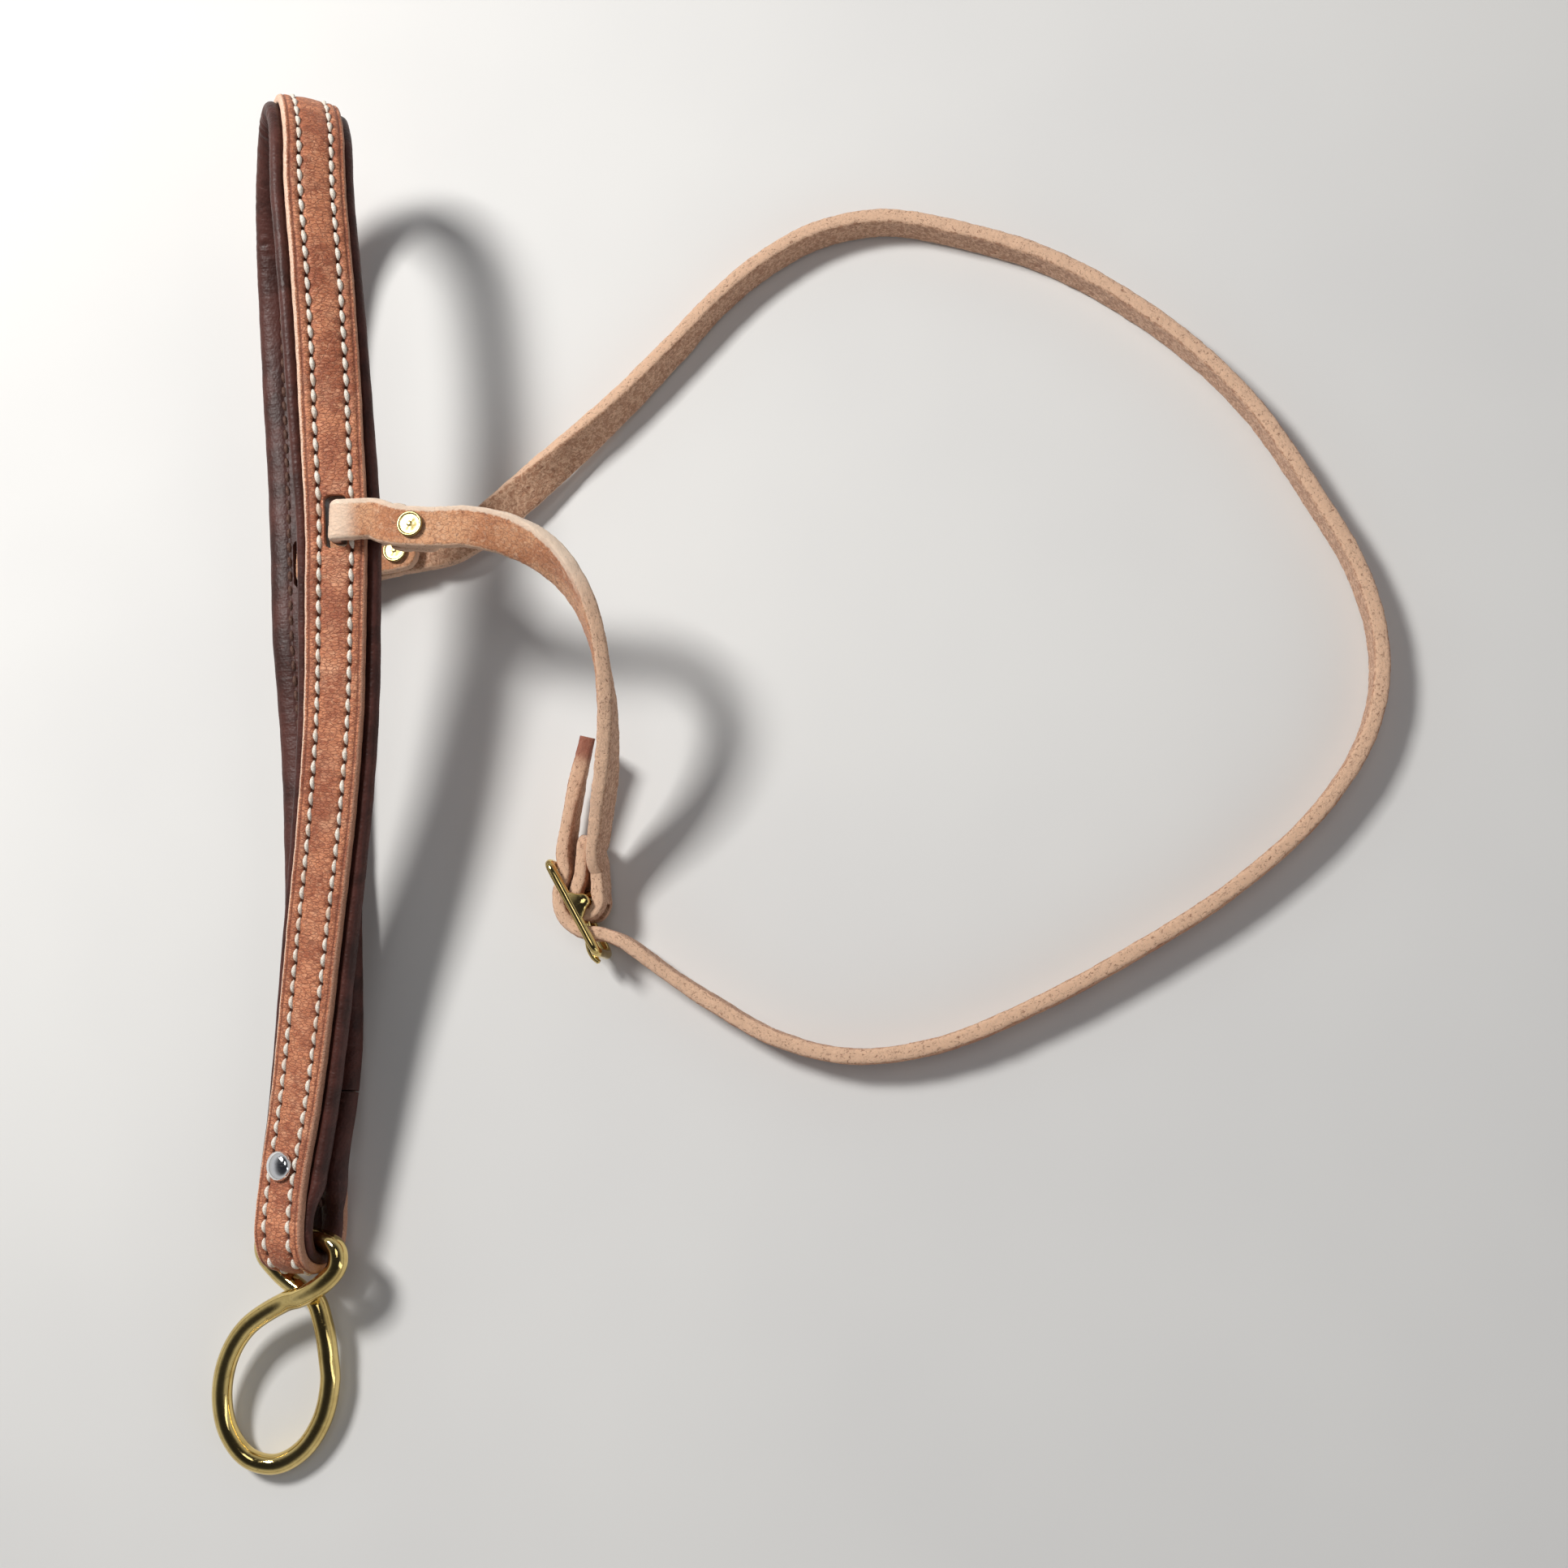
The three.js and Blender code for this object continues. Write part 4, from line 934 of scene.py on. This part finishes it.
def cheekStations():
    under, over = -layerSpace / 2, layerSpace / 2
    c = cheekScrewAt
    threaded = [(besideRoll + 4.8, underneath * 0.5), (besideRoll + 1, underneath * 0.95),
                (besideRoll - 4, underneath - 1.27), (4.6, underneath - 1.07), (1, underneath + 0.33),
                (0, underneath * 0.55), (0, 0), (0.2, onTop - 3.2), (1.5, onTop - 0.5), (5, onTop + 0.5),
                (besideRoll - 1, onTop + 0.9)]
    loop = [c + (8, -0.6, under), c + (0, 0, under), c + (-5.5, 0.8, under - 0.6),
            *(inSlot(nearSlot, w, n) for w, n in threaded), c + (-6, 0.8, over), c + (0, 0, over),
            c + (7, -0.6, over)]
    rows = [(p, (0, 1, 0)) for p in loop]
    rows += [((-88, 71.5, 64), (0, 1, 0.06)), ((-76, 69, 62.4), (0.15, 0.95, 0.35)),
             ((-64, 62.6, 60), (0.35, 0.65, 0.7)), ((-56.4, 54, 57), (0.38, 0.3, 0.88)),
             ((-51.6, 43, 52.5), (0.3, 0.08, 0.95)), ((-49.5, 30, 46.5), (0.2, 0, 0.98)),
             ((-49.6, 16, 39), (0.08, 0, 1)), ((-52, 1, 30), (0, 0.1, 1)),
             ((-55.8, -13, 20.5), (0, 0.15, 1)), (inBuckle(-11.4, 14.4, 3.95), (0, 0.1, 1))]
    fold = [inBuckle(-8, 12.6, 0.8), bar(-0.4, 1.45), bar(0.75, 0.85), bar(1.12, 0), bar(0.72, -0.75), bar(0, -1),
            bar(-0.9, -0.62), inBuckle(-8, 6.4), inBuckle(-13.5, 10.4, 0.6), inBuckle(-19, 14.6, 1.6)]
    return rows + [(p, upright) for p in fold]


def crownStations():
    over, c = layerSpace / 2, crownScrewAt
    threaded = [(besideRoll + 5, underneath * 0.52), (besideRoll + 1.2, underneath * 0.9),
                (besideRoll - 4, underneath - 0.2), (4.6, underneath - 0.1), (1, underneath + 0.9),
                (0, underneath * 0.55), (0, 0), (0.2, onTop - 3.2), (1.5, onTop - 0.7), (5, onTop + 0.1),
                (besideRoll - 1, onTop)]
    loop = [c + (7, 1, over), c + (0, 0, over), c + (-5.5, -0.8, over + 0.4),
            *(inSlot(farSlot, w, n) for w, n in threaded), c + (-7, -1.2, -over - 0.2), c + (0, 0, -over),
            c + (7, 1, -over)]
    rows = [(p, (0, -1, 0)) for p in loop]
    rows += [((-114, 83, 6.9), (0.1, -1, -0.05)), ((-103, 88.5, 7.6), (0.4, -0.9, -0.2)),
             ((-92, 97, 8.3), (0.5, -0.65, -0.45)), ((-75, 111.5, 8.3), (0.4, -0.4, -0.8)),
             ((-57, 128, 7.4), (0.2, -0.2, -0.95)), ((-37, 148.5, 6.6), (0.08, -0.08, -1))]
    down = (0, 0, -1)
    rows += [(p, down) for p in (
        *((x, y, hanger["width"] / 2) for x, y in (
            (-22, 164.5), (-8, 176), (12, 186.5), (35, 189.5), (60, 183.5), (91, 171), (125, 147), (151, 119.5),
            (170, 88), (183.5, 60), (188, 34), (183.5, 11), (168, -13), (141, -37), (111, -56), (80, -72.5),
            (50, -84.5), (23, -88))),
        (-1, -82.5, 6.4), (-22, -71, 6.9), (-38, -60.5, 8), inBuckle(17.5, 8.4), inBuckle(11.6, 3.6),
        aroundFold(0.847, -0.709), aroundFold(0, -1), aroundFold(-0.753, -0.78), inBuckle(-11.5, 2.3),
        inBuckle(-17.4, 4.9, 0.2))]
    rows += [(inBuckle(-27, 12.2, 1.2), (-0.08, 0, -1)), (inBuckle(-37, 20.6, 2.2), (-0.2, 0, -1)),
             (inBuckle(-47, 30, 3.6), (-0.3, 0.05, -1))]
    return rows


def hangerStrap(name, stations, seed, roundStart, roundEnd, stainLast, creamUntil, swell):
    line = Lay([p for p, _ in stations], [w for _, w in stations], False, 0.6)
    section = roundedLoop([(0, -2.1), (2.4, -2.12), (4.6, -2.1), (5.5, -1.98), (6.05, -1.6), (6.3, -0.9),
                           (6.36, 0), (6.3, 0.95), (6.0, 1.62), (5.4, 1.98), (4.5, 2.08), (2.3, 2.12),
                           (0, 2.12)], 0.42)
    rng = np.random.default_rng(seed)

    def napped(x, y, s):
        edge = np.ones_like(s)
        for length, near in ((roundStart, s), (roundEnd, line.length - s)):
            if length:
                k = np.clip((length - near) / length, 0, 1)
                edge = np.minimum(edge, np.sqrt(np.maximum(1 - k * k, 0.03)))
        uneven = 0.13 * waves(s + 0.8 * x, (11, 23, 5.5), seed) * np.sign(y) * (np.abs(y) > 1)
        wavy = 0.14 * waves(s, (31, 12, 7), seed + 1)
        x = x * edge + wavy * (np.abs(x) / 6.35)
        free = np.clip((s - swell[0]) / 15, 0, 1) * np.clip((line.length - swell[1] - s) / 15, 0, 1)
        free = np.maximum(free, np.clip((s - line.length + swell[2]) / 6, 0, 1))
        y = y * (1 + hanger["swell"] * free)
        nap = rng.normal(0, hanger["nap"], x.shape)
        return x + nap * np.sign(x), y + uneven + rng.normal(0, hanger["nap"], x.shape), s

    stain = line.length - hanger["stainLength"] if stainLast else None
    made = bentStrap(name, line, section, hangerLeather(name + "_leather", stain, creamUntil), napped)
    print(name, "length mm", round(float(line.length), 1))
    return made


cheekStrap = hangerStrap("cheek_strap_leather", cheekStations(), 21, 3.0, 2.0, False, 150, (110, 60, 0))
crownStrap = hangerStrap("crown_strap_leather", crownStations(), 31, 5.0, 0, True, None, (110, 100, 24))
for piece, middle, opening in ((cheekStrap, inBuckle(1.6, 2.5), "foldWindow"),
                               (crownStrap, inBuckle(8, 0), "tongueHole")):
    cutThrough(piece, blockTool(Vector(toFrame(middle)), Vector(buckleS), Vector(upright), Vector(-buckleB),
                                hanger[opening]))
print("hanger straps bent")


buckle = {"length": 36, "wire": 3.0, "bar": 2.6, "tongue": 2.4, "web": 13, "webRim": 2.1}


def buckleFrame():
    wire = buckle["wire"] / 2
    end, side, back = buckle["length"] / 2 - wire, hanger["width"] / 2 + 0.35 + wire, hanger["barSetback"]
    quarter = [(0, side), (6, side), (end - 3.4, side), (end - 1.4, side - 0.35), (end - 0.35, side - 1.4),
               (end, side - 3.4), (end, 0)]

    def corner(su, sv):
        return [(su * s, sv * r) for s, r in quarter]

    path = (corner(1, 1) + corner(1, -1)[::-1][1:] + corner(-1, -1)[1:] + corner(-1, 1)[::-1][1:-1])
    rim = rod("buckle_frame_cast", [inBuckle(s, 0, r) for s, r in path], wire, 18, True, brass, 0.45)
    barLine = [inBuckle(0, back, r) for r in np.linspace(-side, side, 9)]
    parts = [rod("bar", barLine, buckle["bar"] / 2, 18, False, brass, 0.45)]
    foot, neck, crest = buckle["web"] / 2, buckle["webRim"], back + buckle["webRim"]
    left = [(-foot, -0.6), (-foot * 0.72, 1.5), (-neck * 1.25, crest - 2.2), (-neck * 0.8, crest - 0.5)]
    outline = smoothLine(left + [(0, crest)] + [(-u, v) for u, v in left[::-1]], False, 0.5, 6)
    for end in (-side, side):  # the web that carries the bar's end, its rim rounded over
        verts, faces, m = [], [], len(outline)
        for deep, grow in ((-1.1, -0.5), (-0.75, -0.12), (-0.3, 0), (0.3, 0), (0.75, -0.12), (1.1, -0.5)):
            middle = outline.mean(0)
            verts += [toFrame(inBuckle(*(p + unit(p - middle) * grow), end + deep)) for p in outline]
        for i in range(5):
            a, b = i * m, (i + 1) * m
            faces += [(a + j, a + (j + 1) % m, b + (j + 1) % m, b + j) for j in range(m)]
        faces += [tuple(range(m)), tuple(range(6 * m - 1, 5 * m - 1, -1))]
        parts.append(meshObject("web", verts, faces, [brass]))
    whole = bmesh.new()
    whole.from_mesh(rim.data)
    for part in parts:
        whole.from_mesh(part.data)
        bpy.data.objects.remove(part)
    bmesh.ops.recalc_face_normals(whole, faces=whole.faces)
    whole.to_mesh(rim.data)
    whole.free()
    rim.data.polygons.foreach_set("use_smooth", [True] * len(rim.data.polygons))
    return rim


def buckleTongue():
    wire = buckle["tongue"] / 2
    around = buckle["bar"] / 2 + 0.3 + wire
    end, rest = buckle["length"] / 2 - buckle["wire"] / 2, -(buckle["wire"] / 2 + wire + 0.3)
    eye = [(around * math.cos(math.radians(d)), hanger["barSetback"] + around * math.sin(math.radians(d)))
           for d in (20, 60, 100, 140, 180, 220, 262)]
    path = eye + [(3.6, 0.6), (8, -0.7), (12.4, rest + 0.3), (end - 0.6, rest), (end + 1.8, rest + 0.7)]

    def taper(k):
        return wire * (1 - 0.32 * max(0, (k - 0.8) / 0.2) ** 1.5)

    return rod("buckle_tongue_wire", [inBuckle(s, b) for s, b in path], taper, 18, False, brass, 0.35)


buckleFrameCast = buckleFrame()
buckleTongueWire = buckleTongue()
print("buckle cast")


studio = {"floor": (0.71, 0.705, 0.69), "floorShade": (0.675, 0.67, 0.66), "keyPower": 12, "keySize": 0.24,
          "fillPower": 1.6, "rimPower": 1.2, "worldLight": 0.52, "eye": (0.08214, -0.092745, 0.56947),
          "aim": (-0.00328, -0.001635, 0), "sensor": 36, "lensShare": 2200 / 1932}


def paleFloor():
    material, tree, shader = newFinish("paleFloor", IOR=1.45, Specular_IOR_Level=0.2)
    where = addNode(tree, "ShaderNodeTexCoord").outputs["Object"]
    cloud = mottle(tree, where, 5, 3)
    shade = blendColour(tree, between(tree, cloud, 0.3, 0.7), studio["floor"], studio["floorShade"])
    tree.links.new(shade, shader.inputs["Base Color"])
    tree.links.new(plus(tree, 0.6, times(tree, cloud, 0.15)), shader.inputs["Roughness"])
    floor = meshObject("floor", [(-6, -6, 0), (6, -6, 0), (6, 6, 0), (-6, 6, 0)], [(0, 1, 2, 3)], [material],
                       smooth=False)
    floor.location.z = -0.0002
    return floor


floor = paleFloor()


def softLight(name, place, power, size, colour=(1, 1, 1), longer=None):
    data = bpy.data.lights.new(name, "AREA")
    data.energy, data.size, data.color = power, size, colour
    if longer:
        data.shape, data.size_y = "RECTANGLE", longer
    made = bpy.data.objects.new(name, data)
    made.location = place
    made.rotation_mode = "QUATERNION"
    made.rotation_quaternion = (-Vector(place)).to_track_quat("-Z", "Y")
    scene.collection.objects.link(made)
    return made


softLight("key", (-0.56, 0.42, 0.86), studio["keyPower"], studio["keySize"], (1.0, 0.985, 0.96))
softLight("overhead", (0.1, 0.25, 1.5), studio["fillPower"], 0.5, (1.0, 1.0, 1.0))
softLight("rim", (0.9, -0.55, 0.7), studio["rimPower"], 0.25, (0.95, 0.97, 1.0), 0.9)

world = bpy.data.worlds.new("studio")
scene.world = world
world.use_nodes = True
sky = world.node_tree
overhead = addNode(sky, "ShaderNodeTexCoord").outputs["Generated"]
upward = addNode(sky, "ShaderNodeSeparateXYZ", {0: overhead}).outputs[2]
room = ramp(sky, upward, [(0.0, (0.60, 0.59, 0.57)), (0.12, (1.0, 0.99, 0.97)), (0.42, (0.98, 0.98, 1.0)),
                          (0.60, (0.42, 0.42, 0.43)), (0.74, (0.10, 0.10, 0.11)), (0.90, (0.05, 0.05, 0.06))])
sky.links.new(room, sky.nodes["Background"].inputs["Color"])
sky.nodes["Background"].inputs["Strength"].default_value = studio["worldLight"]
scene.view_settings.view_transform = "Standard"
scene.view_settings.look = "None"

lens = bpy.data.cameras.new("lens")
lens.sensor_width, lens.lens = studio["sensor"], studio["sensor"] * studio["lensShare"]
lens.clip_start, lens.clip_end = 0.02, 20
camera = bpy.data.objects.new("camera", lens)
scene.collection.objects.link(camera)
eye, aim = Vector(studio["eye"]), Vector(studio["aim"])
back = (eye - aim).normalized()
right = Vector((0, 1, 0)).cross(back).normalized()
camera.matrix_world = Matrix.Translation(eye) @ Matrix((right, back.cross(right), back)).transposed().to_4x4()
scene.camera = camera


standsFor = [
    (nosebandFace, "noseband", ["noseband_strap"], "harness_leather"),
    (nosebandLining, "noseband", ["noseband_lining", "noseband_padding"], "lining_leather"),
    (stitchesOuter, "noseband", ["stitch_thread_outer"], "thread"),
    (stitchesInner, "noseband", ["stitch_thread_inner"], "thread"),
    (nickelPost, "noseband", ["noseband_post"], "nickel"),
    (nickelScrew, "noseband", ["noseband_screw"], "nickel"),
    (tieDownRing, "ring", ["tie_down_ring"], "brass"),
    (cheekStrap, "hanger", ["cheek_strap"], "hanger_leather"),
    (crownStrap, "hanger", ["crown_strap"], "hanger_leather"),
    (cheekPost, "hanger", ["cheek_post"], "brass"),
    (cheekScrew, "hanger", ["cheek_screw"], "brass"),
    (crownPost, "hanger", ["crown_post"], "brass"),
    (crownScrew, "hanger", ["crown_screw"], "brass"),
    (buckleFrameCast, "hanger", ["buckle_frame"], "brass"),
    (buckleTongueWire, "tongue", ["buckle_tongue"], "brass"),
]
for piece, body, nodes, finish in standsFor:
    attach(piece, body)
    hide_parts(*nodes)
